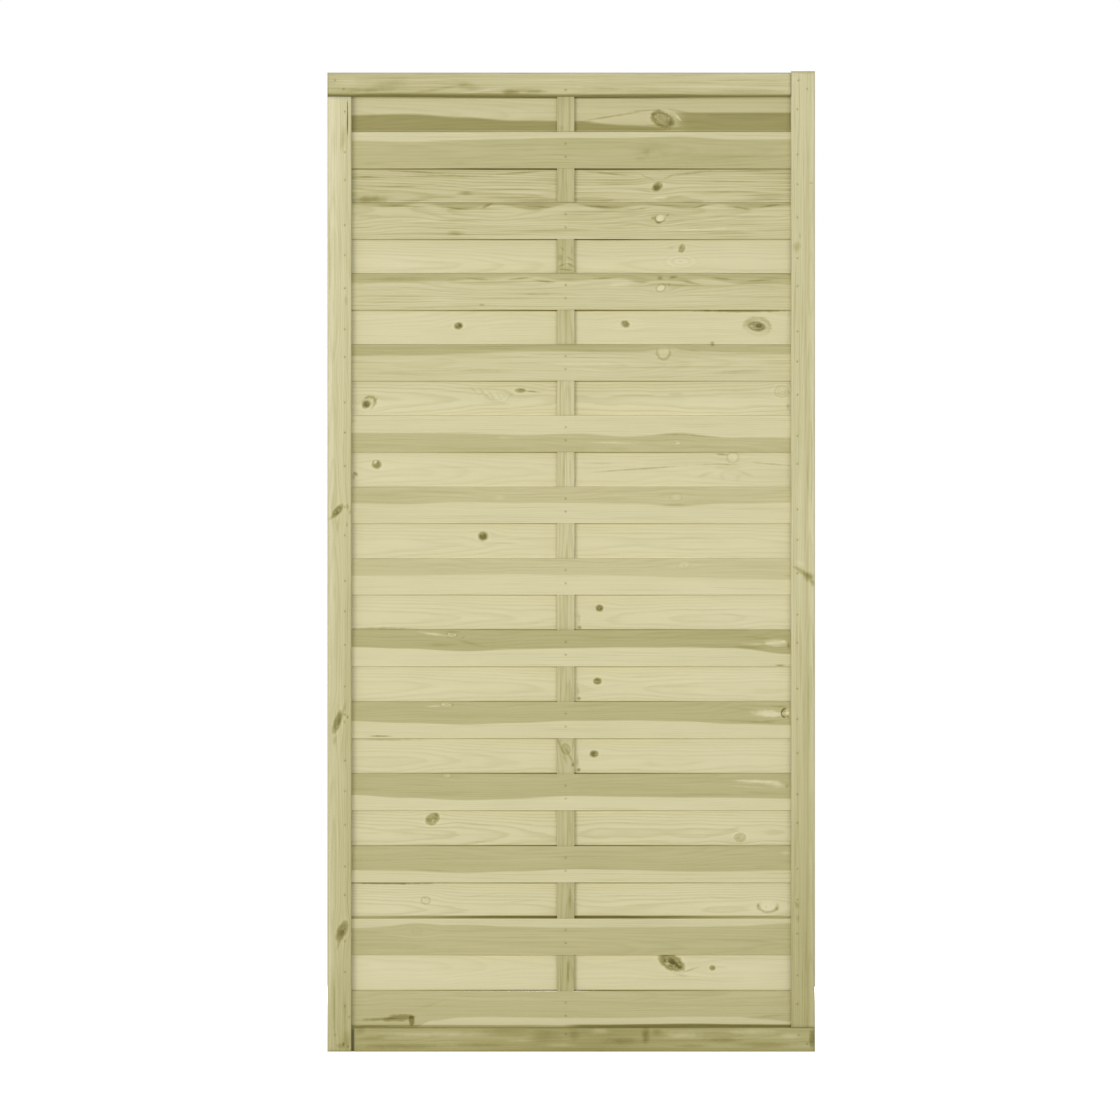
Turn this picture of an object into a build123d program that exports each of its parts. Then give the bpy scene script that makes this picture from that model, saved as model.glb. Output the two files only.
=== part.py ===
from build123d import *
import math
import os
from collections import namedtuple

os.makedirs("parts", exist_ok=True)

# A lap fence panel: thin slats woven either side of a centre batten and held
# between a front and a back frame of battens. Millimetres, +Z up, the face
# that is seen from the front looks along -Y, the origin is at bottom centre.

# Whole panel
panel_width = 895.0
panel_height = 1800.0

# Frame battens, the same stock in the front and the back layer
frame_face = 44.0
frame_thickness = 16.0
frame_arris = 3.0
stile_proud = 2.5
joint_gap = 5.0

# Slats
slat_width = 66.8
slat_thickness = 5.0
slat_lap = 1.0
slat_spread = 0.08
slat_end_inset = 5.0

# Centre batten
batten_width = 32.0
batten_offset = -10.0

# Brads of square wire, sunk below the face that they are driven through
brad_wire = 1.6
brad_sink = 0.8
brad_inset = 12.0
brad_stagger = (6.0, -4.0, 10.0, -8.0, 2.0)
brad_pair_spacing = 24.0
brad_tip_cover = 8.0
batten_tip_cover = 2.0
corner_brad_spread = 16.0

# Levels along Y: the slats are two thin layers that meet at y = 0
core_half = slat_thickness
batten_thickness = 2 * core_half
frame_front = -core_half - frame_thickness
panel_depth = 2 * (core_half + frame_thickness)

# Levels along X and Z
half_width = panel_width / 2
opening_half = half_width - frame_face
opening_bottom = frame_face
rail_top = panel_height - stile_proud
opening_top = rail_top - frame_face
batten_left = batten_offset - batten_width / 2
batten_right = batten_offset + batten_width / 2

# Slats from the top down, as many as lap by slat_lap or more on the whole.
# Each step down is longer than the last by slat_spread, as they lie looser.
slat_run = opening_top - opening_bottom - slat_width
slat_count = math.ceil(slat_run / (slat_width - slat_lap)) + 1
first_step = slat_run / (slat_count - 1) - slat_spread * (slat_count - 2) / 2
slat_drops = [i * first_step + slat_spread * i * (i - 1) / 2 for i in range(slat_count)]
slat_centres = [opening_top - slat_width / 2 - drop for drop in slat_drops]

# Each layer of the frame is a pinwheel: every member butts against the next.
# A span is left, right, bottom and top, as seen from that layer's own side.
pinwheel = {
    "top_rail": (-half_width, opening_half, opening_top, rail_top),
    "right_stile": (opening_half, half_width, opening_bottom, panel_height),
    "bottom_rail": (-opening_half + joint_gap, half_width, 0, opening_bottom),
    "left_stile": (-half_width, -opening_half, 0, opening_top),
}
seen_from_front = {"left_stile": "right_stile", "right_stile": "left_stile"}

# Places of the brads: x and z of each, the y of the face they are driven
# through, and their reach behind it, which is negative from the back.
Brads = namedtuple("Brads", "places face reach")


def stile_places(side, first):
    """One brad for each slat, staggered down the stile on that side."""
    x = side * (opening_half + brad_inset)
    steps = len(brad_stagger)
    return [(x, z + brad_stagger[(i + first) % steps]) for i, z in enumerate(slat_centres)]


def pair_places(first):
    """Two brads for every other slat where it crosses the centre batten."""
    rise = brad_pair_spacing / 2
    return [(batten_offset, z + step) for z in slat_centres[first::2] for step in (rise, -rise)]


def corner_places():
    """Two brads on the diagonal of each corner, where four pieces cross."""
    x = half_width - frame_face / 2
    step = corner_brad_spread / 2
    middles = [(s * x, z) for s in (-1, 1) for z in (frame_face / 2, rail_top - frame_face / 2)]
    return [(x + d, z - d) for x, z in middles for d in (-step, step)]


def packer_places():
    """One brad in the middle of each packer, between the rails."""
    columns = [(batten_left - half_width) / 2, (batten_right + half_width) / 2]
    return [(x, z) for x in columns for z in (frame_face / 2, rail_top - frame_face / 2)]


batten_ends = [(batten_offset, opening_top + brad_inset), (batten_offset, opening_bottom - brad_inset)]
frame_reach = panel_depth - brad_tip_cover
slat_face = core_half + slat_thickness
slat_reach = slat_thickness + batten_thickness - batten_tip_cover

brad_groups = {
    "left_stile_brads": Brads(stile_places(-1, 0), frame_front, frame_reach),
    "right_stile_brads": Brads(stile_places(1, 2), frame_front, frame_reach),
    "corner_brads": Brads(corner_places(), frame_front, frame_reach),
    "batten_end_brads": Brads(batten_ends, frame_front, frame_reach),
    "packer_brads": Brads(packer_places(), -frame_front, -frame_reach),
    "front_slat_brads": Brads(pair_places(1), -slat_face, slat_reach),
    "back_slat_brads": Brads(pair_places(0), slat_face, -slat_reach),
}


def drive(brads, sunk, mode):
    """One square wire at each place, with its head that far below the face."""
    start = brads.face + math.copysign(sunk, brads.reach)
    end = brads.face + brads.reach
    with Locations(*[(x, (start + end) / 2, z) for x, z in brads.places]):
        Box(brad_wire, abs(end - start), brad_wire, mode=mode)


def seat_brads(left, right, bottom, top):
    """Cut the seat of every brad that is driven within this outline."""
    for brads in brad_groups.values():
        inside = [(x, z) for x, z in brads.places if left < x < right and bottom < z < top]
        if inside:
            drive(brads._replace(places=inside), 0, Mode.SUBTRACT)


def bowed_edge(level, rise):
    """A slat's long edge in plan, from end to end.

    It runs straight between the stiles' battens at the level given, leaves
    them in an arc, enters the crossing of the centre batten in a second arc
    of the same radius and lies flat on the batten, the rise further out.
    """
    slat_end = half_width - slat_end_inset
    for side, crossing in ((-1, batten_left), (1, batten_right)):
        leave = (side * opening_half, level)
        land = (crossing, level + rise)
        turn = ((leave[0] + land[0]) / 2, level + rise / 2)
        Line((side * slat_end, level), leave)
        TangentArc(leave, turn, tangent=(-side, 0))
        TangentArc(land, turn, tangent=(side, 0))
    Line((batten_left, level + rise), (batten_right, level + rise))


# Frame battens, with the long edges of the outer face rounded. In the front
# layer a stile stands proud of the top rail, in the back layer none does.
for layer, side in (("front", 1), ("back", -1)):
    for member, (left, right, bottom, top) in pinwheel.items():
        if layer == "back":
            left, right = -right, -left
            top = min(top, rail_top)
            member = seen_from_front.get(member, member)
        run = Axis.X if member.endswith("rail") else Axis.Z
        with BuildPart() as frame_batten:
            with BuildSketch(Plane.XZ.offset(side * core_half)):
                with Locations(((left + right) / 2, (bottom + top) / 2)):
                    Rectangle(right - left, top - bottom)
            extrude(amount=side * frame_thickness)
            outer_face = frame_batten.faces().sort_by(Axis.Y)[0 if side > 0 else -1]
            fillet(outer_face.edges().filter_by(run), radius=frame_arris)
            seat_brads(left, right, bottom, top)
        name = f"{layer}_{member}"
        frame_batten.part.label = name
        export_step(frame_batten.part, f"parts/{name}.step")

# Centre batten, full height, its ends held between the rails
with BuildPart() as centre_batten:
    with BuildSketch(Plane.XY):
        with Locations((batten_offset, 0)):
            Rectangle(batten_width, batten_thickness)
    extrude(amount=rail_top)
    seat_brads(batten_left, batten_right, 0, rail_top)
centre_batten.part.label = "centre_batten"
export_step(centre_batten.part, "parts/centre_batten.step")

# Packers that fill the rails either side of the centre batten
for level, (bottom, top) in {"bottom": (0, opening_bottom), "top": (opening_top, rail_top)}.items():
    for hand, (left, right) in {"left": (-half_width, batten_left), "right": (batten_right, half_width)}.items():
        with BuildPart() as packer:
            with BuildSketch(Plane.XY.offset(bottom)):
                with Locations(((left + right) / 2, 0)):
                    Rectangle(right - left, batten_thickness)
            extrude(amount=top - bottom)
            seat_brads(left, right, bottom, top)
        name = f"{level}_{hand}_packer"
        packer.part.label = name
        export_step(packer.part, f"parts/{name}.step")

# Slats, counted from the top: odd ones pass behind the batten, even ones in front
for number, centre in enumerate(slat_centres, start=1):
    outward = -1 if number % 2 == 0 else 1
    bottom = centre - slat_width / 2
    slat_end = half_width - slat_end_inset
    with BuildPart() as slat:
        with BuildSketch(Plane.XY.offset(bottom)):
            with BuildLine():
                bowed_edge(0, outward * core_half)
                bowed_edge(outward * slat_thickness, outward * core_half)
                for x in (-slat_end, slat_end):
                    Line((x, 0), (x, outward * slat_thickness))
            make_face()
        extrude(amount=slat_width)
        seat_brads(-half_width, half_width, bottom, bottom + slat_width)
    name = f"slat_{number:02d}"
    slat.part.label = name
    export_step(slat.part, f"parts/{name}.step")

# Brads, each group one set of separate wires
for name, brads in brad_groups.items():
    with BuildPart() as brad_group:
        drive(brads, brad_sink, Mode.ADD)
    brad_group.part.label = name
    export_step(brad_group.part, f"parts/{name}.step")
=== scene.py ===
"""Dresses a woven softwood fence panel: slats, frame battens, centre batten and brads.

Every board is a rounded section carried along its grain, and every board has a
pine finish of its own, with the knots, bands and stains that its look lists.
"""

import logging
import math
from dataclasses import dataclass, replace
from enum import Enum
from typing import Any, Optional, Sequence, Union

import bpy
import numpy as np
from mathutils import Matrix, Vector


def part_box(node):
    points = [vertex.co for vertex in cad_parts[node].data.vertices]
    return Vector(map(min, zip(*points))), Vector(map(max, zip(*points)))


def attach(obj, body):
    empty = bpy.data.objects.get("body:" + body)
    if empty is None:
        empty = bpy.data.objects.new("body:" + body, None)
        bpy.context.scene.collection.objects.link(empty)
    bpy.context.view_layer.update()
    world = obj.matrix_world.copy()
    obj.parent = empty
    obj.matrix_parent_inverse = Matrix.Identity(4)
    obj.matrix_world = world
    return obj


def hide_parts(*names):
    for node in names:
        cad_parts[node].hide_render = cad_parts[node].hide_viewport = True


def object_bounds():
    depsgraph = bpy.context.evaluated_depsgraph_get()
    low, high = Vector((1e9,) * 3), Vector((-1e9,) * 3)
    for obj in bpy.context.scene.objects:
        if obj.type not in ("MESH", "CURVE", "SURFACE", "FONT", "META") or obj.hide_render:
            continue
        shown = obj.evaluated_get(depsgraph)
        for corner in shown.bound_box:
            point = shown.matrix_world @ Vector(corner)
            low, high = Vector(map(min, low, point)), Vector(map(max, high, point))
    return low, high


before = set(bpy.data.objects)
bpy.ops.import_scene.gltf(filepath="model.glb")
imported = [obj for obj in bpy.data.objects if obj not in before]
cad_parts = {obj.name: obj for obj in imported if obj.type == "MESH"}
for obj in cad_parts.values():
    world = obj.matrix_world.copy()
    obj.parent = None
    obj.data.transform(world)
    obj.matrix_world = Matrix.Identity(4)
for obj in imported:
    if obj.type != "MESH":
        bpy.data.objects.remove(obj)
cad_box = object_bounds()

log = logging.getLogger("fence_panel")

MM = 0.001
MM_PER_METRE = 1000.0
# Decimals of a millimetre that tell two points of a mesh apart
DECIMALS = 3
# The attribute that carries a board's painted arris highlight, the stains round its dents and its painted
# seam shade
EDGE_TONE = "edge_tone"

Number = Union[float, "Value"]
Colour = tuple[int, int, int]
Socket = bpy.types.NodeSocket


def linear(colour: Colour) -> tuple[float, float, float, float]:
    """Turn a display colour of 0 to 255 into the linear colour that a shader takes.

    A share s of full light is s / 12.92 where it is dark, and elsewhere
    (s + 0.055) / 1.055 to the power of 2.4, the usual curve of a screen.

    Args:
        colour: red, green and blue as a screen shows them.

    Returns:
        Linear red, green, blue and an alpha of one.
    """
    shares = [c / 255 for c in colour]
    light = [s / 12.92 if s <= 0.04045 else ((s + 0.055) / 1.055) ** 2.4 for s in shares]
    return (*light, 1.0)


@dataclass(frozen=True)
class PhotoFrame:
    """Where the panel lies in the photograph of 1120 by 1120 pixels.

    The opening is what the frame leaves free, from its first to its last
    column and row.
    """

    side: int = 1120
    mm_per_pixel: float = 1.836
    middle_column: float = 571.2
    ground_row: float = 1051.6
    opening_columns: tuple[float, float] = (352.0, 790.0)
    opening_rows: tuple[float, float] = (96.0, 1026.0)

    def x(self, column: float) -> float:
        """Millimetres right of the panel's middle at a column."""
        return (column - self.middle_column) * self.mm_per_pixel

    def z(self, row: float) -> float:
        """Millimetres above the ground at a row."""
        return (self.ground_row - row) * self.mm_per_pixel

    def size(self, pixels: float) -> float:
        """Millimetres that a number of pixels covers."""
        return pixels * self.mm_per_pixel


PHOTO = PhotoFrame()
LEFT, RIGHT = PHOTO.opening_columns


class Grain(Enum):
    """The way that a board's fibres run."""

    ALONG_X = "x"
    UPRIGHT = "z"


class Layer(Enum):
    """The side of the panel that a board's outer face looks to, as a sign along Y."""

    FRONT = -1
    BACK = 1


class Value:
    """A number that varies over a surface, with arithmetic that adds Math nodes."""

    def __init__(self, nodes: "NodeTree", socket: Socket) -> None:
        """Wrap one output socket of a node tree that is being made."""
        self.nodes = nodes
        self.socket = socket

    def __add__(self, other: Number) -> "Value":
        """Sum of the two."""
        return self.nodes.math("ADD", self, other)

    def __radd__(self, other: Number) -> "Value":
        """Sum of the two."""
        return self.nodes.math("ADD", other, self)

    def __sub__(self, other: Number) -> "Value":
        """This less the other."""
        return self.nodes.math("SUBTRACT", self, other)

    def __rsub__(self, other: Number) -> "Value":
        """The other less this."""
        return self.nodes.math("SUBTRACT", other, self)

    def __mul__(self, other: Number) -> "Value":
        """Product of the two."""
        return self.nodes.math("MULTIPLY", self, other)

    def __rmul__(self, other: Number) -> "Value":
        """Product of the two."""
        return self.nodes.math("MULTIPLY", other, self)

    def __truediv__(self, other: Number) -> "Value":
        """This over the other."""
        return self.nodes.math("DIVIDE", self, other)

    def __rtruediv__(self, other: Number) -> "Value":
        """The other over this."""
        return self.nodes.math("DIVIDE", other, self)

    def __abs__(self) -> "Value":
        """This without its sign."""
        return self.nodes.math("ABSOLUTE", self)

    def step(self, low: Number, high: Number, start: Number = 0.0, end: Number = 1.0) -> "Value":
        """Ease from start to end as this goes from low to high."""
        return self.nodes.span("SMOOTHSTEP", self, (low, high), (start, end))

    def ramp(self, low: Number, high: Number, start: Number = 0.0, end: Number = 1.0) -> "Value":
        """As step, but in a straight line between the two ends."""
        return self.nodes.span("LINEAR", self, (low, high), (start, end))


class NodeTree:
    """A node tree under construction, with one method that adds any node."""

    def __init__(self, tree: bpy.types.NodeTree) -> None:
        """Start with an empty tree."""
        self.tree = tree
        self.tree.nodes.clear()

    def node(
        self,
        kind: str,
        settings: Optional[dict[str, Any]] = None,
        inputs: Optional[dict[Any, Any]] = None,
    ) -> bpy.types.Node:
        """Add a node.

        Args:
            kind: the node's type name.
            settings: its own properties, set first; stops fills a colour ramp.
            inputs: values or links of its sockets, by name or number.

        Returns:
            The new node.
        """
        node = self.tree.nodes.new(kind)
        for key, value in (settings or {}).items():
            if key == "stops":
                self.fill_ramp(node.color_ramp, value)
            else:
                setattr(node, key, value)
        for key, value in (inputs or {}).items():
            self.feed(node.inputs[key], value)
        return node

    @staticmethod
    def fill_ramp(ramp: bpy.types.ColorRamp, stops: Sequence[tuple[float, Colour]]) -> None:
        """Give a colour ramp its stops, the first and the last in its own two elements.

        Args:
            ramp: the ramp of a new Color Ramp node.
            stops: each stop's place, from 0 to 1, and its display colour.
        """
        ramp.elements[0].position, ramp.elements[-1].position = stops[0][0], stops[-1][0]
        for position, _ in stops[1:-1]:
            ramp.elements.new(position)
        for element, (_, colour) in zip(ramp.elements, stops):
            element.color = linear(colour)

    def feed(self, socket: Socket, value: Any) -> None:
        """Link a value to an input socket, or set the socket's own number.

        Args:
            socket: the input.
            value: a varying value, an output socket, or a plain number or colour.
        """
        if isinstance(value, Value):
            value = value.socket
        if isinstance(value, Socket):
            self.tree.links.new(value, socket)
        else:
            socket.default_value = value

    def math(self, operation: str, *terms: Number) -> Value:
        """One Math node on one or two terms."""
        node = self.node("ShaderNodeMath", {"operation": operation}, dict(enumerate(terms)))
        return Value(self, node.outputs[0])

    def span(
        self, kind: str, value: Value, source: tuple[Number, Number], result: tuple[Number, Number]
    ) -> Value:
        """Carry a value from one span to another, held at the ends.

        Args:
            kind: the way between the ends, as a Map Range node names it.
            value: what is carried over.
            source: the values at which the result starts and ends.
            result: the results there and beyond.

        Returns:
            The value in the other span.
        """
        inputs = {
            "Value": value,
            "From Min": source[0],
            "From Max": source[1],
            "To Min": result[0],
            "To Max": result[1],
        }
        node = self.node("ShaderNodeMapRange", {"interpolation_type": kind, "clamp": True}, inputs)
        return Value(self, node.outputs["Result"])

    def vector(self, x: Number, y: Number, z: Number) -> Socket:
        """Three numbers as one vector."""
        return self.node("ShaderNodeCombineXYZ", None, {0: x, 1: y, 2: z}).outputs[0]

    def split(self, vector: Socket) -> tuple[Value, Value, Value]:
        """The three numbers of a vector."""
        outputs = self.node("ShaderNodeSeparateXYZ", None, {0: vector}).outputs
        return Value(self, outputs[0]), Value(self, outputs[1]), Value(self, outputs[2])

    def noise(self, vector: Socket, detail: float, roughness: float = 0.5) -> Value:
        """Soft noise from about 0 to 1, one feature to each unit of the vector."""
        inputs = {"Vector": vector, "Scale": 1.0, "Detail": detail, "Roughness": roughness}
        return Value(self, self.node("ShaderNodeTexNoise", None, inputs).outputs[0])

    def either(self, outputs: Sequence[Socket]) -> Value:
        """The highest of several outputs.

        Args:
            outputs: two or more sockets of this tree.

        Returns:
            Their highest value.
        """
        highest = Value(self, outputs[0])
        for output in outputs[1:]:
            highest = self.math("MAXIMUM", highest, Value(self, output))
        return highest


class Shader(NodeTree):
    """A material under construction: a Principled shader and its output."""

    def __init__(self, name: str) -> None:
        """Start a material.

        Args:
            name: the material's name.
        """
        self.material = bpy.data.materials.new(name)
        self.material.use_nodes = True
        super().__init__(self.material.node_tree)
        self.surface = self.node("ShaderNodeBsdfPrincipled")
        self.node("ShaderNodeOutputMaterial", None, {"Surface": self.surface.outputs["BSDF"]})

    def dress(self, inputs: dict[str, Any]) -> bpy.types.Material:
        """Feed sockets of the Principled shader.

        Args:
            inputs: values or links by the socket's name.

        Returns:
            The finished material.
        """
        for name, value in inputs.items():
            self.feed(self.surface.inputs[name], value)
        return self.material

    def places(self, scale: float) -> tuple[Value, ...]:
        """The three object coordinates, in metres times a scale."""
        where = self.node("ShaderNodeTexCoord").outputs["Object"]
        return tuple(axis * scale for axis in self.split(where))

    def attribute(self, name: str) -> Value:
        """A number that the mesh carries at its vertices."""
        node = self.node("ShaderNodeAttribute", {"attribute_name": name})
        return Value(self, node.outputs["Fac"])


@dataclass(frozen=True)
class Oval:
    """A turned ellipse on a board's face, in photo pixels and degrees."""

    column: float
    row: float
    width: float
    height: float
    tilt: float = 0.0


@dataclass(frozen=True, kw_only=True)
class Knot(Oval):
    """A knot, with the tones of its heart, its rim, the pale halo and the rings round it.

    The side is the angle at which its rim is darker than elsewhere. The push
    is the share by which the fibres part round it, and the core is the share
    of its size within which the heart keeps its tone.
    """

    heart: float = 1.3
    rim: float = 0.5
    halo: float = 0.05
    rings: float = 0.0
    side: Optional[float] = None
    push: float = 0.75
    core: float = 0.5


@dataclass(frozen=True, kw_only=True)
class Blot(Oval):
    """A soft mark, darker than the wood round it or, below zero, lighter.

    The core is the share of its size within which it keeps its tone.
    """

    tone: float
    core: float = 0.0


@dataclass(frozen=True)
class Band:
    """A band of tone between two lines along a board, in photo rows or columns: olive heartwood on most
    boards, painted shade along some arrises and joints, and painted highlight, below zero, along some outer
    arrises.

    The numbers of a line are where it lies at evenly spaced places, from the
    left or upper end of the opening to the other end. The reach is where the
    band starts and ends along the board, and soft is the blur of its sides.
    """

    near: tuple[float, ...]
    far: tuple[float, ...]
    tone: float
    reach: Optional[tuple[float, float]] = None
    soft: float = 0.9


@dataclass(frozen=True)
class BoardLook:
    """What tells one board from another.

    Tones are steps down from pale sapwood, at 0, to olive heartwood, at 1.
    The stops give the tone at photo columns or rows along the board. Rings,
    streaks and figure are the tones of its grain, and the pith is how far
    from its middle the growth rings are centred, in millimetres.
    """

    stops: tuple[tuple[float, float], ...]
    bands: tuple[Band, ...] = ()
    marks: tuple[Oval, ...] = ()
    rings: float = 0.09
    streaks: float = 0.16
    figure: float = 0.12
    pith: float = 0.0


@dataclass(frozen=True)
class Spot:
    """An ellipse on a board, along and across it: middle and half sizes in millimetres, turn in radians."""

    u: float
    v: float
    half_u: float
    half_v: float
    turn: float = 0.0

    def distance(self, nodes: NodeTree, flat: Socket) -> Value:
        """Distance from the middle, measured in the ellipse's own half sizes.

        Args:
            nodes: the tree that takes the new nodes.
            flat: places along and across the board.

        Returns:
            The distance, with 1 on the outline.
        """
        inputs = {
            "Vector": flat,
            "Location": (self.u, self.v, 0.0),
            "Rotation": (0.0, 0.0, self.turn),
            "Scale": (self.half_u, self.half_v, 1.0),
        }
        mapped = nodes.node("ShaderNodeMapping", {"vector_type": "TEXTURE"}, inputs).outputs[0]
        length = nodes.node("ShaderNodeVectorMath", {"operation": "LENGTH"}, {0: mapped})
        return Value(nodes, length.outputs["Value"])


@dataclass(frozen=True)
class Place:
    """Where a board lies, in millimetres.

    Across is the middle of its face, shift is how far it lies above its place
    in the photograph, and the seed tells its noise from that of other boards.
    """

    grain: Grain
    across: float
    shift: float
    seed: float

    def along_at(self, level: float) -> float:
        """Millimetres along the board at a photo column or row."""
        return PHOTO.x(level) if self.grain is Grain.ALONG_X else PHOTO.z(level)

    def across_at(self, level: float) -> float:
        """Bring a photo row or column to the board.

        Args:
            level: a row on a board that lies along X, or a column on an upright.

        Returns:
            Millimetres across the board from its middle.
        """
        if self.grain is Grain.ALONG_X:
            return self.across - (PHOTO.z(level) + self.shift)
        return PHOTO.x(level) - self.across

    def spot(self, mark: Oval) -> Spot:
        """Bring a mark from the photograph to the board.

        Args:
            mark: the mark in photo pixels.

        Returns:
            The same ellipse along and across the board.
        """
        width, height = PHOTO.size(mark.width) / 2, PHOTO.size(mark.height) / 2
        turn = math.radians(mark.tilt)
        if self.grain is Grain.ALONG_X:
            return Spot(self.along_at(mark.column), self.across_at(mark.row), width, height, turn)
        return Spot(self.along_at(mark.row), self.across_at(mark.column), height, width, turn)


@dataclass(frozen=True)
class Noise:
    """A layer of noise in a board, by its sizes along, across and through the board in millimetres.

    A size of 0 leaves the noise the same that way. The seed moves it along
    the axes that are marked with 1, and the middle is taken off its level.
    """

    sizes: tuple[float, float, float]
    moved: tuple[int, int, int]
    detail: float
    roughness: float = 0.5
    middle: float = 0.5

    def spread(self, nodes: NodeTree, places: Sequence[Value], seed: float) -> Value:
        """Make the noise.

        Args:
            nodes: the tree that takes the new nodes.
            places: places along, across and through the board.
            seed: the board's own number.

        Returns:
            The noise's level, about zero where it has a middle.
        """
        terms: list[Number] = []
        for place, size, moves in zip(places, self.sizes, self.moved):
            term: Number = place / size if size else 0.0
            terms.append(term + seed if moves else term)
        level = nodes.noise(nodes.vector(*terms), self.detail, self.roughness)
        return level - self.middle if self.middle else level


@dataclass(frozen=True)
class Fibres:
    """The grain of one board: places on it in millimetres, layers of noise and growth rings.

    Flat holds the places along and across as a vector. Warped is the place
    across once the fibres wander and part round the knots, and late is the
    share of dark late wood in a growth ring.
    """

    shader: Shader
    place: Place
    along: Value
    flat: Socket
    warped: Value
    broad: Value
    fine: Value
    cloud: Value
    lump: Value
    grit: Value
    figure: Value
    late: Value


@dataclass(frozen=True)
class KnotFinish:
    """How a knot shows, by the distance from its middle, which is 1 on its outline.

    Fibres part round it within its influence, a length along and one across
    the board in millimetres, which grow with the knot. The rim rises and falls
    between three distances and the halo between two pairs of them.
    """

    influence: tuple[float, float] = (46.0, 21.0)
    influence_growth: tuple[float, float] = (1.0, 0.5)
    lumps: float = 0.6
    grit: float = 0.8
    ragged: float = 0.4
    mottle: float = 1.8
    rim: tuple[float, float, float] = (0.55, 0.88, 1.2)
    side_shift: float = 0.6
    side_fade: tuple[float, float] = (0.6, 1.3)
    halo_rise: tuple[float, float] = (0.95, 1.15)
    halo_fall: tuple[float, float] = (1.2, 1.6)
    ring_pace: float = 13.0
    ring_fade: tuple[float, float] = (0.3, 1.5)
    gloss: float = 0.12
    gloss_fade: tuple[float, float] = (0.7, 1.0)

    def pull(self, shader: Shader, flat: Socket, spot: Spot, push: float) -> Value:
        """Share by which fibres round a knot are drawn towards its middle.

        Args:
            shader: the material that is being made.
            flat: places along and across the board.
            spot: the knot's ellipse.
            push: the share at its middle.

        Returns:
            The share, which falls to 0 where the knot's influence ends.
        """
        reach_u = self.influence[0] + spot.half_u * self.influence_growth[0]
        reach_v = self.influence[1] + spot.half_v * self.influence_growth[1]
        around = Spot(spot.u, spot.v, reach_u, reach_v)
        return around.distance(shader, flat).step(0.0, 1.0, push, 0.0)

    def tone(self, wood: Fibres, spot: Spot, knot: Knot) -> Value:
        """Tone of a knot: a heart, a rim, a pale halo and, where it has them, rings or a darker side.

        Args:
            wood: the grain of its board.
            spot: the knot's ellipse.
            knot: its tones.

        Returns:
            The tone that it adds to the wood.
        """
        rough = wood.lump * self.lumps + wood.grit * self.grit
        reach = spot.distance(wood.shader, wood.flat) + rough * self.ragged
        heart = reach.step(knot.core, 1.0, knot.heart, 0.0) * (rough * self.mottle + 1.0)
        start, peak, end = self.rim
        rim = reach.step(start, peak, 0.0, knot.rim) * reach.step(peak, end, 1.0, 0.0)
        if knot.side is not None:
            angle = math.radians(knot.side)
            u = spot.u - math.cos(angle) * spot.half_u * self.side_shift
            v = spot.v - math.sin(angle) * spot.half_v * self.side_shift
            shifted = Spot(u, v, spot.half_u, spot.half_v)
            rim = rim * shifted.distance(wood.shader, wood.flat).step(*self.side_fade)
        tone = heart + rim
        if knot.halo:
            halo = reach.step(*self.halo_rise, 0.0, knot.halo) * reach.step(*self.halo_fall, 1.0, 0.0)
            tone = tone - halo
        if knot.rings:
            wave = wood.shader.math("COSINE", reach * self.ring_pace)
            tone = tone + wave * reach.step(*self.ring_fade, knot.rings, 0.0)
        return tone

    def shine(self, wood: Fibres, spot: Spot) -> Value:
        """By how much a knot is smoother than the wood round it."""
        return spot.distance(wood.shader, wood.flat).step(*self.gloss_fade, self.gloss, 0.0)


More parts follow.
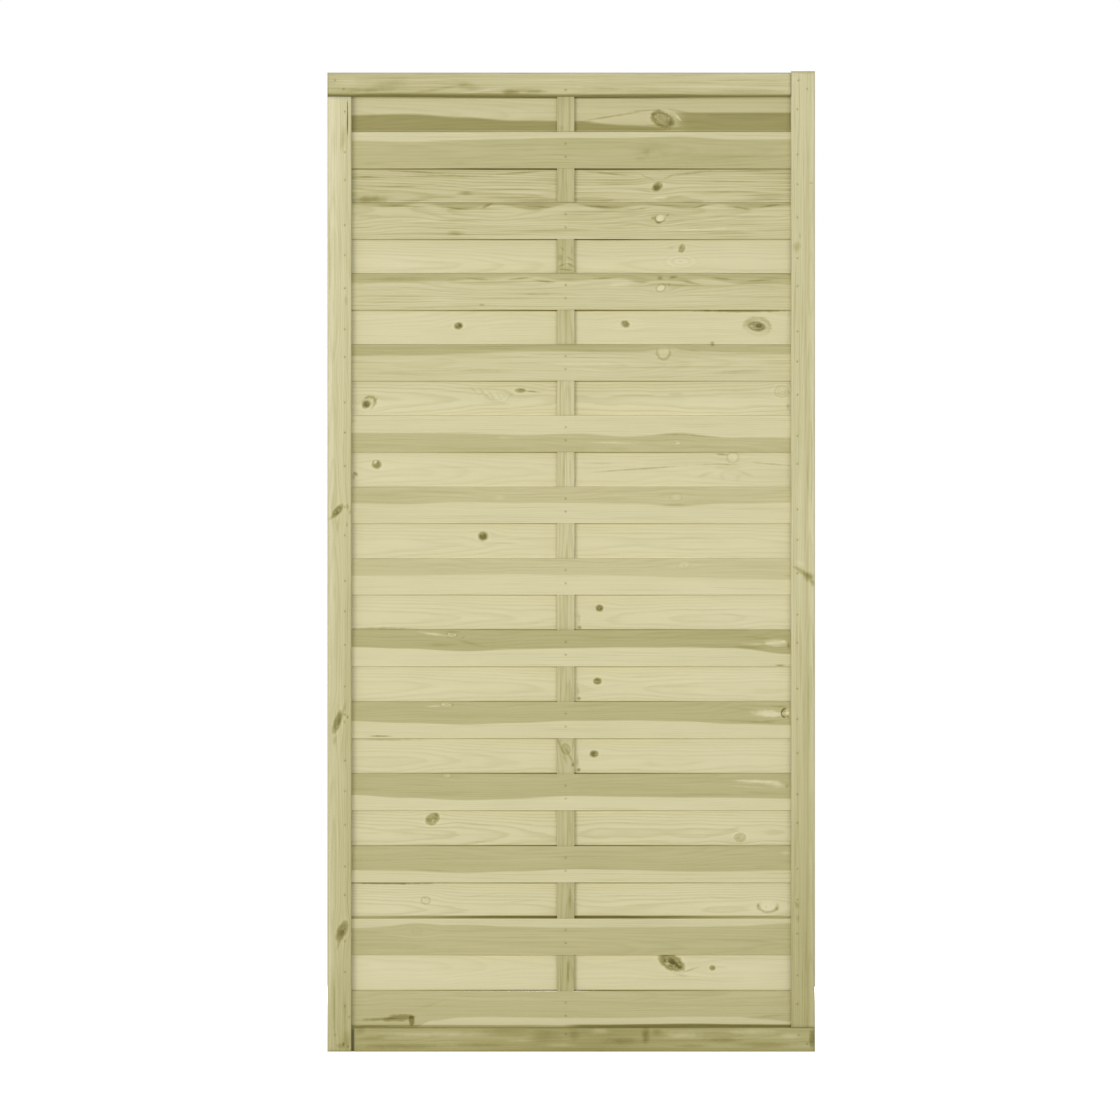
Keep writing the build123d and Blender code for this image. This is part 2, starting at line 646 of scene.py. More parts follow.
@dataclass(frozen=True)
class PineFinish:
    """Pressure-treated pine, matt, pale green-cream with olive heartwood and dark knots.

    The tones are display colours down the scale of a board's look. Sizes are in
    millimetres, but the band's fade is in photo pixels and the bump's distance
    in metres. Pairs are levels between which something rises, and the other
    numbers are what one thing adds to another in tone, roughness or height.
    """

    tones: tuple[tuple[float, Colour], ...] = (
        (-0.5, (232, 226, 192)),
        (0.0, (213, 206, 166)),
        (0.5, (186, 179, 133)),
        (1.0, (160, 153, 100)),
        (2.0, (111, 103, 48)),
        (3.0, (70, 62, 4)),
    )
    knots: KnotFinish = KnotFinish()

    # Layers of noise
    wander: Noise = Noise((260.0, 70.0, 0.0), (1, 0, 1), 2.0)
    broad: Noise = Noise((520.0, 7.5, 9.0), (1, 0, 1), 3.0, 0.6)
    fine: Noise = Noise((60.0, 1.1, 1.1), (0, 1, 0), 3.0, 0.65)
    cloud: Noise = Noise((150.0, 45.0, 0.0), (0, 1, 1), 2.0)
    lump: Noise = Noise((12.0, 9.0, 0.0), (0, 0, 1), 1.0)
    grit: Noise = Noise((4.5, 3.6, 0.0), (0, 0, 1), 1.0)
    figure: Noise = Noise((170.0, 2.9, 0.0), (1, 0, 1), 3.0, 0.55, middle=0.0)

    # Growth rings
    wander_mm: float = 7.0
    pith_depth: float = 34.0
    ring_mm: float = 3.4
    ring_wander: float = 16.0
    ring_taper: float = 0.012
    ring_fray: float = 0.5
    late_wood: tuple[float, float] = (0.35, 0.9)

    # Tone
    fine_tone: float = 0.12
    cloud_tone: float = 0.14
    figure_range: tuple[float, float] = (0.5, 0.74)
    band_fray: float = 1.2
    band_streaks: float = 0.35
    band_fade: float = 12.0
    blot_fray: float = 0.6
    end_facing: tuple[float, float] = (0.5, 0.9)
    end_rings: float = 0.5
    end_tone: float = 0.35

    # Surface
    roughness: float = 0.72
    fine_roughness: float = 0.16
    specular: float = 0.25
    late_height: float = -0.35
    fine_height: float = 0.9
    broad_height: float = 0.5
    bump_strength: float = 0.22
    bump_distance: float = 0.0006

    def make(self, name: str, place: Place, look: BoardLook) -> bpy.types.Material:
        """Make the material of one board.

        Args:
            name: the material's name.
            place: where the board lies.
            look: its heartwood, knots, marks and tone.

        Returns:
            A procedural material that reads object coordinates and the board's own attribute.
        """
        shader = Shader(name)
        wood = self.fibres(shader, place, look)
        low, high = self.tones[0][0], self.tones[-1][0]
        stops = [((level - low) / (high - low), colour) for level, colour in self.tones]
        shade = {"Fac": self.tone(wood, look).ramp(low, high)}
        ramp = shader.node("ShaderNodeValToRGB", {"stops": stops}, shade)
        roughness = self.roughness + wood.fine * self.fine_roughness
        for mark in look.marks:
            if isinstance(mark, Knot):
                roughness = roughness - self.knots.shine(wood, place.spot(mark))
        height = wood.late * self.late_height + wood.fine * self.fine_height + wood.broad * self.broad_height
        relief = {"Strength": self.bump_strength, "Distance": self.bump_distance, "Height": height}
        bump = shader.node("ShaderNodeBump", None, relief)
        return shader.dress({
            "Base Color": ramp.outputs["Color"],
            "Roughness": roughness,
            "Normal": bump.outputs["Normal"],
            "Specular IOR Level": self.specular,
        })

    def fibres(self, shader: Shader, place: Place, look: BoardLook) -> Fibres:
        """Work out a board's grain.

        The growth rings are circles about a pith behind the face. Their phase
        is the distance from it over the width of a ring, and late wood is the
        part of each ring in which its tone rises and drops back.

        Args:
            shader: the material that is being made.
            place: where the board lies.
            look: its knots and its pith.

        Returns:
            The grain's values.
        """
        x, depth, z = shader.places(MM_PER_METRE)
        if place.grain is Grain.ALONG_X:
            along, across = x, place.across - z
        else:
            along, across = z, x - place.across
        flat = shader.vector(along, across, 0.0)

        straight = (along, across, depth)
        wander = self.wander.spread(shader, straight, place.seed)
        warped = across + wander * self.wander_mm
        for mark in look.marks:
            if isinstance(mark, Knot):
                spot = place.spot(mark)
                warped = warped - self.knots.pull(shader, flat, spot, mark.push) * (across - spot.v)
        bent = (along, warped, depth)
        fine = self.fine.spread(shader, bent, place.seed)

        away = warped - look.pith
        behind = depth + self.pith_depth
        radius = shader.math("SQRT", away * away + behind * behind)
        radius = radius + wander * self.ring_wander + along * self.ring_taper
        turn = shader.math("FRACT", radius / self.ring_mm + fine * self.ring_fray)
        start, peak = self.late_wood
        return Fibres(
            shader=shader,
            place=place,
            along=along,
            flat=flat,
            warped=warped,
            broad=self.broad.spread(shader, bent, place.seed),
            fine=fine,
            cloud=self.cloud.spread(shader, straight, place.seed),
            lump=self.lump.spread(shader, straight, place.seed),
            grit=self.grit.spread(shader, straight, place.seed),
            figure=self.figure.spread(shader, bent, place.seed),
            late=turn.step(start, peak) * turn.step(peak, 1.0, 1.0, 0.0),
        )

    def tone(self, wood: Fibres, look: BoardLook) -> Value:
        """Add up a board's tone: its stops, grain, bands of heartwood and of painted light and shade, marks,
        the edge tone of its mesh (painted arris highlight, dent stains and painted seam shade) and end
        grain.

        Args:
            wood: the grain of the board.
            look: what tells the board from another.

        Returns:
            The tone, on the scale of the look.
        """
        shader, place = wood.shader, wood.place
        tone = self.along_tone(wood, look.stops)
        tone = tone + wood.late * look.rings + wood.broad * look.streaks
        tone = tone + wood.fine * self.fine_tone + wood.cloud * self.cloud_tone
        tone = tone + wood.figure.step(*self.figure_range) * look.figure
        for band in look.bands:
            tone = tone + self.band_tone(wood, band) * (wood.broad * self.band_streaks + 1.0)
        for mark in look.marks:
            spot = place.spot(mark)
            if isinstance(mark, Knot):
                tone = tone + self.knots.tone(wood, spot, mark)
            elif isinstance(mark, Blot):
                spread = spot.distance(shader, wood.flat) + (wood.lump + wood.fine) * self.blot_fray
                tone = tone + spread.step(mark.core, 1.0, mark.tone, 0.0)
        # Painted arris highlight, dent stains and painted seam shade that the mesh carries
        tone = tone + shader.attribute(EDGE_TONE)
        normal = shader.split(shader.node("ShaderNodeNewGeometry").outputs["Normal"])
        facing = abs(normal[0] if place.grain is Grain.ALONG_X else normal[2])
        return tone + facing.step(*self.end_facing) * (wood.late * self.end_rings + self.end_tone)

    @staticmethod
    def along_tone(wood: Fibres, stops: tuple[tuple[float, float], ...]) -> Value:
        """Tone along a board, in straight lines between its stops.

        Args:
            wood: the grain of the board.
            stops: photo columns or rows, each with its tone.

        Returns:
            The tone.
        """
        tone = wood.along * 0.0 + stops[0][1]
        for (start, low), (end, high) in zip(stops, stops[1:]):
            u0, u1 = wood.place.along_at(start), wood.place.along_at(end)
            if u0 < u1:
                tone = tone + wood.along.ramp(u0, u1, 0.0, high - low)
            else:
                tone = tone + wood.along.ramp(u1, u0, high - low, 0.0)
        return tone

    def band_tone(self, wood: Fibres, band: Band) -> Value:
        """Tone of one band, which is heartwood on most boards and painted light and shade along some arrises
        and joints, with soft sides and, where it has them, soft ends.

        Args:
            wood: the grain of the board.
            band: the two lines that the band lies between.

        Returns:
            The tone that it adds to the wood.
        """
        across = wood.warped + wood.fine * self.band_fray
        near, far = across - self.line(wood, band.near), across - self.line(wood, band.far)
        soft = PHOTO.size(band.soft)
        tone = near.step(-soft, soft, 0.0, band.tone) * far.step(-soft, soft, 1.0, 0.0)
        if band.reach:
            u0, u1 = sorted(wood.place.along_at(level) for level in band.reach)
            fade = PHOTO.size(self.band_fade)
            tone = tone * wood.along.step(u0 - fade, u0 + fade)
            tone = tone * wood.along.step(u1 - fade, u1 + fade, 1.0, 0.0)
        return tone

    @staticmethod
    def line(wood: Fibres, levels: tuple[float, ...]) -> Number:
        """Place of a line across a board, eased from each of its levels to the next.

        Args:
            wood: the grain of the board.
            levels: photo rows or columns, evenly spaced along the opening.

        Returns:
            The place in millimetres, a plain number for a straight line.
        """
        place = wood.place
        opening = PHOTO.opening_columns if place.grain is Grain.ALONG_X else PHOTO.opening_rows
        first, last = (place.along_at(end) for end in opening)
        across_at = [place.across_at(level) for level in levels]
        level: Number = across_at[0]
        for k, (v0, v1) in enumerate(zip(across_at, across_at[1:])):
            u0, u1 = (first + (last - first) * (k + j) / (len(levels) - 1) for j in (0, 1))
            if v0 == v1:
                continue
            if u0 < u1:
                level = level + wood.along.step(u0, u1, 0.0, v1 - v0)
            else:
                level = level + wood.along.step(u1, u0, v1 - v0, 0.0)
        return level


@dataclass(frozen=True)
class SteelFinish:
    """Dull galvanised wire with darker, duller patches.

    Each pair is the value at the patches' dark end and at their pale end, or
    the levels of the noise between which it goes from one to the other.
    """

    colours: tuple[Colour, Colour] = ((108, 101, 64), (152, 146, 106))
    colour_levels: tuple[float, float] = (0.3, 0.7)
    metal: tuple[float, float] = (0.1, 0.35)
    metal_levels: tuple[float, float] = (0.3, 0.8)
    roughness: tuple[float, float] = (0.65, 0.45)
    roughness_levels: tuple[float, float] = (0.2, 0.8)
    patch_mm: float = 0.9
    patch_detail: float = 3.0

    def make(self, name: str) -> bpy.types.Material:
        """Make the material that all the brads share.

        Args:
            name: the material's name.

        Returns:
            The material.
        """
        shader = Shader(name)
        places = shader.places(MM_PER_METRE / self.patch_mm)
        patch = shader.noise(shader.vector(*places), self.patch_detail)
        stops = list(zip(self.colour_levels, self.colours))
        ramp = shader.node("ShaderNodeValToRGB", {"stops": stops}, {"Fac": patch})
        return shader.dress({
            "Base Color": ramp.outputs["Color"],
            "Metallic": patch.step(*self.metal_levels, *self.metal),
            "Roughness": patch.step(*self.roughness_levels, *self.roughness),
        })


@dataclass(frozen=True)
class Section:
    """A board's section in millimetres: its width, its depth and the rounding of its long edges.

    Points on a face are a step apart, with a least number of them, and a line
    that is asked for gets one unless it lies within line_clear of the edge.
    """

    width: float
    depth: float
    outer_round: float
    inner_round: float
    face_step: float = 6.0
    face_least: int = 3
    line_clear: float = 0.1
    arc_points: int = 3
    side_points: int = 4

    def loop(self, lines: Sequence[float], inner_lines: Sequence[float]) -> tuple[np.ndarray, np.ndarray]:
        """The outline of the section, once round.

        The outer face runs from one side to the other at half the depth, a
        quarter circle leads into the side, a second one into the inner face,
        and the same half follows on the way back.

        Args:
            lines: places across the outer face that must have a point.
            inner_lines: the same on the inner face.

        Returns:
            The distance across and the distance outwards of each point.
        """
        half, top = self.width / 2, self.depth / 2
        outer = self.face(half - self.outer_round, lines)
        inner = self.face(half - self.inner_round, inner_lines)
        arc_out, arc_in = self.arc(self.outer_round), self.arc(self.inner_round)
        edge = np.full(self.side_points, half)
        side = np.linspace(top - self.outer_round, self.inner_round - top, self.side_points)
        across = np.concatenate([
            outer, arc_out[0], edge, arc_in[0][::-1],
            inner[::-1], -arc_in[0], -edge, -arc_out[0][::-1],
        ])
        outward = np.concatenate([
            np.full(len(outer), top), arc_out[1], side, -arc_in[1][::-1],
            np.full(len(inner), -top), -arc_in[1], side[::-1], arc_out[1][::-1],
        ])
        return across, outward

    def arc(self, rounding: float) -> tuple[np.ndarray, np.ndarray]:
        """The points inside a quarter circle from a face to the side.

        Args:
            rounding: the radius.

        Returns:
            The distance across and the distance outwards of each point.
        """
        turn = np.linspace(math.pi / 2, 0, self.arc_points + 2)[1:-1]
        across = self.width / 2 - rounding + rounding * np.cos(turn)
        return across, self.depth / 2 - rounding + rounding * np.sin(turn)

    def face(self, half: float, lines: Sequence[float]) -> np.ndarray:
        """Places across a flat face.

        Args:
            half: half the width of the face.
            lines: places that must have a point.

        Returns:
            Evenly spaced places with the lines among them.
        """
        count = max(self.face_least, int(2 * half / self.face_step) + 1)
        kept = [line for line in lines if abs(line) < half - self.line_clear]
        return np.unique(np.round(np.concatenate([np.linspace(-half, half, count), kept]), DECIMALS))


@dataclass(kw_only=True)
class Board:
    """A long board of wood: a rounded section carried along its grain, in millimetres.

    Worn is the tone that its outer arrises add, wander is the size of the drift
    of its edges and cup is the hollow of its face. The seam shade is how far painted shade, and
    painted light where its tone is below zero, reaches in from the two edges of the inner face,
    and the seam shade tone is with what tones.
    """

    name: str
    grain: Grain
    layer: Layer
    section: Section
    start: float
    end: float
    across: float
    depth_middle: float
    seed: int
    brads: np.ndarray
    arris_highlight: float
    wander: float = 0.0
    cup: float = 0.0
    station_step: float = 7.0
    seam_shade: tuple[float, float] = (0.0, 0.0)
    seam_shade_tone: tuple[float, float] = (0.0, 0.0)

    # A dent over a brad: its square floor, its rim and the stain round it
    DENT_FLOOR = 0.95
    DENT_RIM = 2.0
    DENT_DEPTH = 1.0
    STAIN_SPREAD = 2.0
    STAIN_EDGE = 4.0
    STAIN_TONE = 0.35
    DENT_LINES = (-STAIN_EDGE, -DENT_RIM, -DENT_FLOOR, DENT_FLOOR, DENT_RIM, STAIN_EDGE)
    # The first and last stretch of the board that gets no extra station
    END_CLEAR = 0.5
    # The drift of a sawn edge, as waves with a length and a share of the wander
    DRIFT_LENGTHS = np.array([520.0, 210.0, 83.0])
    DRIFT_SHARES = np.array([0.6, 0.3, 0.14])
    DRIFT_SEEDS = 7
    CUP_LENGTH = 310.0
    # Painted arris highlight starts on the face that far from an arris, with a point close to the arris
    ARRIS_HIGHLIGHT_REACH = 2.5
    ARRIS_HIGHLIGHT_HOLD = 0.6
    # Painted seam shade fades over a length on the inner face and where it rounds into the edge, and
    # the edge itself has a share of its tone
    SEAM_SHADE_FADE = 1.2
    SEAM_SHADE_RISE = 0.6
    EDGE_SHARE = 0.6
    EDGE_WITHIN = 0.05
    # A point of the section that lies on the outer face, within rounding
    FACE_WITHIN = 1e-6

    def lift(self, along: np.ndarray) -> np.ndarray:
        """How far the board bows outwards, in millimetres: a straight board not at all."""
        return np.zeros_like(along)

    def openness(self, along: np.ndarray) -> np.ndarray:
        """How open the crevice beside the board is along its length, from 0 to 1, which scales its painted
        seam shade.
        """
        return np.ones_like(along)

    def edge_drift(self, along: np.ndarray, edge: int) -> np.ndarray:
        """A sawn edge's drift: three sines of falling size and length, with seeded phases.

        Args:
            along: places along the board.
            edge: 1 or 2, for the edge that is asked for.

        Returns:
            The drift at each place.
        """
        draw = np.random.default_rng(self.seed * self.DRIFT_SEEDS + edge)
        phases = draw.uniform(0, 2 * math.pi, len(self.DRIFT_LENGTHS))
        angles = 2 * math.pi * along[:, None] / self.DRIFT_LENGTHS + phases
        return (np.sin(angles) * (self.DRIFT_SHARES * self.wander)).sum(axis=1)

    def stations(self) -> np.ndarray:
        """Places along the grain.

        Returns:
            Evenly spaced places, with extra ones round each brad.
        """
        count = int((self.end - self.start) / self.station_step) + 1
        even = np.linspace(self.start, self.end, count)
        near = (self.brads[:, :1] + np.array(self.DENT_LINES)).ravel()
        near = near[(near > self.start + self.END_CLEAR) & (near < self.end - self.END_CLEAR)]
        return np.unique(np.round(np.concatenate([even, near]), DECIMALS))

    def outline(self) -> tuple[np.ndarray, np.ndarray]:
        """The section's points, with lines where dents, the outer arrises' tone and the painted seam shade
        begin and end.

        Returns:
            The distance across and the distance outwards of each point.
        """
        half = self.section.width / 2
        rows = np.unique(np.round(self.brads[:, 1] - self.across, DECIMALS))
        dents = (rows[:, None] + np.array(self.DENT_LINES)).ravel()
        flat = half - self.section.outer_round
        holds = [side * (flat - d) for side in (-1, 1) for d in (self.ARRIS_HIGHLIGHT_HOLD, self.ARRIS_HIGHLIGHT_REACH)]
        fades = [
            side * (half - reach - fade)
            for side, reach in zip((1, -1), self.seam_shade)
            if reach
            for fade in (0.0, self.SEAM_SHADE_FADE)
        ]
        return self.section.loop([*dents, *holds], fades)

    def build(self) -> bpy.types.Object:
        """Work out the board's surface and make its mesh.

        A point of the section keeps its distance across and outwards along
        the whole board. The two edges drift by their own sines, the face cups
        by a parabola across the width, and round each brad the outer face
        dips by an eased square. Here p and q are distances across and outwards
        in the section, and u, v and y are places along, across and through.

        Returns:
            The board as a new object at the origin.
        """
        half, depth = self.section.width / 2, self.section.depth / 2
        p, q = self.outline()
        along = self.stations()
        u = np.repeat(along[:, None], len(p), axis=1)
        drift = np.where(p > 0, self.edge_drift(along, 1)[:, None], self.edge_drift(along, 2)[:, None])
        v = self.across + p + drift * np.abs(p) / half
        outer = q > depth - self.FACE_WITHIN
        dip, stain = self.dents(u, v)
        hollow = self.cup * (1 - (p / half) ** 2) * np.sin(along / self.CUP_LENGTH + self.seed)[:, None]
        out = q + (self.lift(along)[:, None] + hollow) - np.where(outer, dip, 0.0)
        y = self.depth_middle + self.layer.value * out

        # Painted shade along the lapped edges, deeper where the crevice opens
        seam_shade = self.painted_seam_shade(p, q) * self.openness(along)[:, None]
        tone = np.where(outer, stain, 0.0) + self.painted_arris_highlight(p, q) + seam_shade
        axes = [u, y, v] if self.grain is Grain.ALONG_X else [v, y, u]
        return grid_object(self.name, np.stack(axes, axis=-1) * MM, np.broadcast_to(tone, u.shape))

    def dents(self, u: np.ndarray, v: np.ndarray) -> tuple[np.ndarray, np.ndarray]:
        """The dents over the brads, each an eased square with a round stain.

        Args:
            u: places along the board.
            v: places across it.

        Returns:
            The depth of the dents and the tone of the stains at each place.
        """
        du = np.abs(u[..., None] - self.brads[:, 0])
        dv = np.abs(v[..., None] - self.brads[:, 1])
        square = (self.DENT_RIM - np.maximum(du, dv)) / (self.DENT_RIM - self.DENT_FLOOR)
        square = np.clip(square, 0, 1)
        depth = (square * square * (3 - 2 * square)).sum(axis=-1) * self.DENT_DEPTH
        stain = np.exp(-(du * du + dv * dv) / self.STAIN_SPREAD**2).sum(axis=-1) * self.STAIN_TONE
        return depth, stain

    def painted_arris_highlight(self, p: np.ndarray, q: np.ndarray) -> np.ndarray:
        """Painted highlight on the outer arrises: added tone, paler than the face from where they start to
        turn.

        Args:
            p: distances across the section.
            q: distances outwards.

        Returns:
            The tone of each point of the section.
        """
        past = np.abs(p) - self.section.width / 2 + self.section.outer_round + self.ARRIS_HIGHLIGHT_REACH
        return np.where(q > 0, np.clip(past / self.ARRIS_HIGHLIGHT_REACH, 0, 1) * self.arris_highlight, 0.0)

    def painted_seam_shade(self, p: np.ndarray, q: np.ndarray) -> np.ndarray:
        """Painted shade of the lapped edges, and painted light where its tone is below zero: on the inner
        face next to them and on the edges.

        Args:
            p: distances across the section.
            q: distances outwards.

        Returns:
            The tone of each point of the section.
        """
        half, depth = self.section.width / 2, self.section.depth / 2
        reach = np.where(p > 0, *self.seam_shade)
        level = np.where(p > 0, *self.seam_shade_tone)
        inside = (np.abs(p) - half + reach + self.SEAM_SHADE_FADE) / self.SEAM_SHADE_FADE
        face = np.where(q < -depth + self.SEAM_SHADE_RISE, np.clip(inside, 0, 1), 0.0)
        return np.where(np.abs(p) > half - self.EDGE_WITHIN, self.EDGE_SHARE, face) * level


@dataclass(kw_only=True)
class Slat(Board):
    """A thin slat that bows outwards round the centre batten.

    The rise is the height of its bow, leave is how far from the panel's middle
    it leaves the stiles, and the crossing is where the batten starts and ends.
    """

    rise: float
    leave: float
    crossing: tuple[float, float]
    wander: float = 0.08
    cup: float = 0.15

    # How open its crevice is where the stiles hold it
    CLOSED = 0.35

    def openness(self, along: np.ndarray) -> np.ndarray:
        """The crevice opens as the slat bows outwards, and its painted seam shade grows with it."""
        return self.CLOSED + (1 - self.CLOSED) * self.lift(along) / self.rise

    def lift(self, along: np.ndarray) -> np.ndarray:
        """Bow of the slat: straight at the stiles, two equal arcs, flat over the batten.

        Each arc has the radius (a * a + b * b) / (4 * b) for a span a and a rise
        b. It leaves the level by R - sqrt(R * R - s * s), and the second arc
        is the first one turned about the middle of the span.

        Args:
            along: places along the slat.

        Returns:
            The bow at each place.
        """
        left, right = self.crossing
        span = np.where(along < 0, left + self.leave, self.leave - right)
        reach = np.where(along < 0, along + self.leave, self.leave - along)
        s = np.clip(reach, 0, span)
        radius = (span * span + self.rise**2) / (4 * self.rise)
        first = radius - np.sqrt(radius * radius - np.minimum(s, span / 2) ** 2)
        second = self.rise - radius + np.sqrt(radius * radius - np.minimum(span - s, span / 2) ** 2)
        return np.where(s < span / 2, first, second)


def grid_object(name: str, points: np.ndarray, tone: np.ndarray) -> bpy.types.Object:
    """Make a closed mesh of a section carried along stations, with flat ends.

    Each face joins two neighbours in one row to the two behind them in the
    next row. All faces are turned round where they would close a negative volume.

    Args:
        name: the object's name.
        points: one row of points for each station, each row once round the section.
        tone: the added tone of each point.

    Returns:
        The new object, linked to the scene, with its faces outwards.
    """
    rows, columns = points.shape[:2]
    index = np.arange(rows * columns).reshape(rows, columns)
    after = np.roll(index, -1, axis=1)
    quads = np.stack([index[:-1], after[:-1], after[1:], index[1:]], axis=-1).reshape(-1, 4)
    ends = [index[0][::-1], index[-1]]
    co = points.reshape(-1, 3)
    a, b, c, d = (co[quads[:, k]] for k in range(4))
    volume = (np.cross(b - a, c - a) * a).sum() + (np.cross(c - a, d - a) * a).sum()
    if volume < 0:
        quads, ends = quads[:, ::-1], [end[::-1] for end in ends]
    loops = np.concatenate([quads.ravel(), *ends])
    sizes = np.concatenate([np.full(len(quads), 4), [columns, columns]])

    mesh = bpy.data.meshes.new(name)
    mesh.vertices.add(len(co))
    mesh.vertices.foreach_set("co", co.astype(np.float32).ravel())
    mesh.loops.add(len(loops))
    mesh.loops.foreach_set("vertex_index", loops.astype(np.int32))
    mesh.polygons.add(len(sizes))
    mesh.polygons.foreach_set("loop_start", (np.cumsum(sizes) - sizes).astype(np.int32))
    mesh.polygons.foreach_set("use_smooth", (sizes == 4))
    mesh.update(calc_edges=True)
    edge_tone = mesh.attributes.new(EDGE_TONE, "FLOAT", "POINT")
    edge_tone.data.foreach_set("value", tone.astype(np.float32).ravel())
    mesh.validate()
    piece = bpy.data.objects.new(name, mesh)
    bpy.context.scene.collection.objects.link(piece)
    return piece


def put(piece: bpy.types.Object, node: str, material: bpy.types.Material) -> None:
    """Let a new piece stand for a node, ride on the panel and take its material.

    Args:
        piece: the new piece.
        node: the node that it stands for.
        material: its finish.
    """
    piece.data.materials.append(material)
    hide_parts(node)
    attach(piece, "root")
    log.info("%s stands for %s with %d faces", piece.name, node, len(piece.data.polygons))


def coat(node: str, material: bpy.types.Material) -> None:
    """Give a node that keeps its own mesh its material.

    Args:
        node: the node.
        material: its finish.
    """
    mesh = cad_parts[node].data
    mesh.materials.clear()
    mesh.materials.append(material)
    log.info("%s dressed", node)


def node_box(node: str) -> tuple[np.ndarray, np.ndarray]:
    """Lowest and highest corner of a node, in millimetres."""
    low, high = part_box(node)
    return np.array(low) / MM, np.array(high) / MM


@dataclass
class BradSet:
    """The brads: where they are, and their dull steel."""

    groups: tuple[str, ...] = (
        "left_stile_brads",
        "right_stile_brads",
        "corner_brads",
        "batten_end_brads",
        "packer_brads",
        "front_slat_brads",
        "back_slat_brads",
    )
    from_behind: tuple[str, ...] = ("packer_brads", "back_slat_brads")
    wire: float = 1.6

    # A place in tenths of a millimetre, and more of them than the panel is high
    TENTHS = 10
    KEY_STEP = 100000

    def heads(self, layer: Layer) -> np.ndarray:
        """Middle of each head driven from one side.

        A head's lower left corner is one that has a partner one wire to its
        right and one a wire above it.

        Args:
            layer: the side.

        Returns:
            The x and z of each head in millimetres.
        """
        found = []
        for group in self.groups:
            if (group in self.from_behind) != (layer is Layer.BACK):
                continue
            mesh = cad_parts[group].data
            co = np.zeros(len(mesh.vertices) * 3, np.float32)
            mesh.vertices.foreach_get("co", co)
            corners = np.unique(np.round(co.reshape(-1, 3)[:, (0, 2)] / MM, 1), axis=0)
            keys = self.key(corners)
            right = np.isin(self.key(corners + (self.wire, 0)), keys)
            above = np.isin(self.key(corners + (0, self.wire)), keys)
            found.append(corners[right & above] + self.wire / 2)
        return np.concatenate(found)

    def key(self, corners: np.ndarray) -> np.ndarray:
        """One whole number for each corner, from its two places in tenths of a millimetre."""
        tenths = np.round(corners * self.TENTHS).astype(np.int64)
        return tenths[:, 0] * self.KEY_STEP + tenths[:, 1]

    def dress(self) -> None:
        """Give every brad its steel."""
        steel = SteelFinish().make("galvanised_brad")
        for group in self.groups:
            coat(group, steel)


def within(heads: np.ndarray, low: np.ndarray, high: np.ndarray, grain: Grain) -> np.ndarray:
    """The heads inside a box.

    Args:
        heads: the x and z of each head.
        low: the lowest corner of the box.
        high: its highest corner.
        grain: the way that the fibres run in it.

    Returns:
        The places of those heads along and across the grain.
    """
    inside = (heads > low[[0, 2]]) & (heads < high[[0, 2]])
    kept = heads[inside.all(axis=1)]
    return kept if grain is Grain.ALONG_X else kept[:, ::-1]


@dataclass(frozen=True, kw_only=True)
class SlatLook(BoardLook):
    """A slat's look, with the rows between which the photograph shows it.

    The seam shades are the tones of painted shade along its upper and its lower edge
    where a front slat laps it, painted light where below zero, and how far that shows past the front slat.
    """

    top: float
    bottom: float
    seam_shades: tuple[float, float]
    seam_mm: tuple[float, float] = (0.8, 0.8)


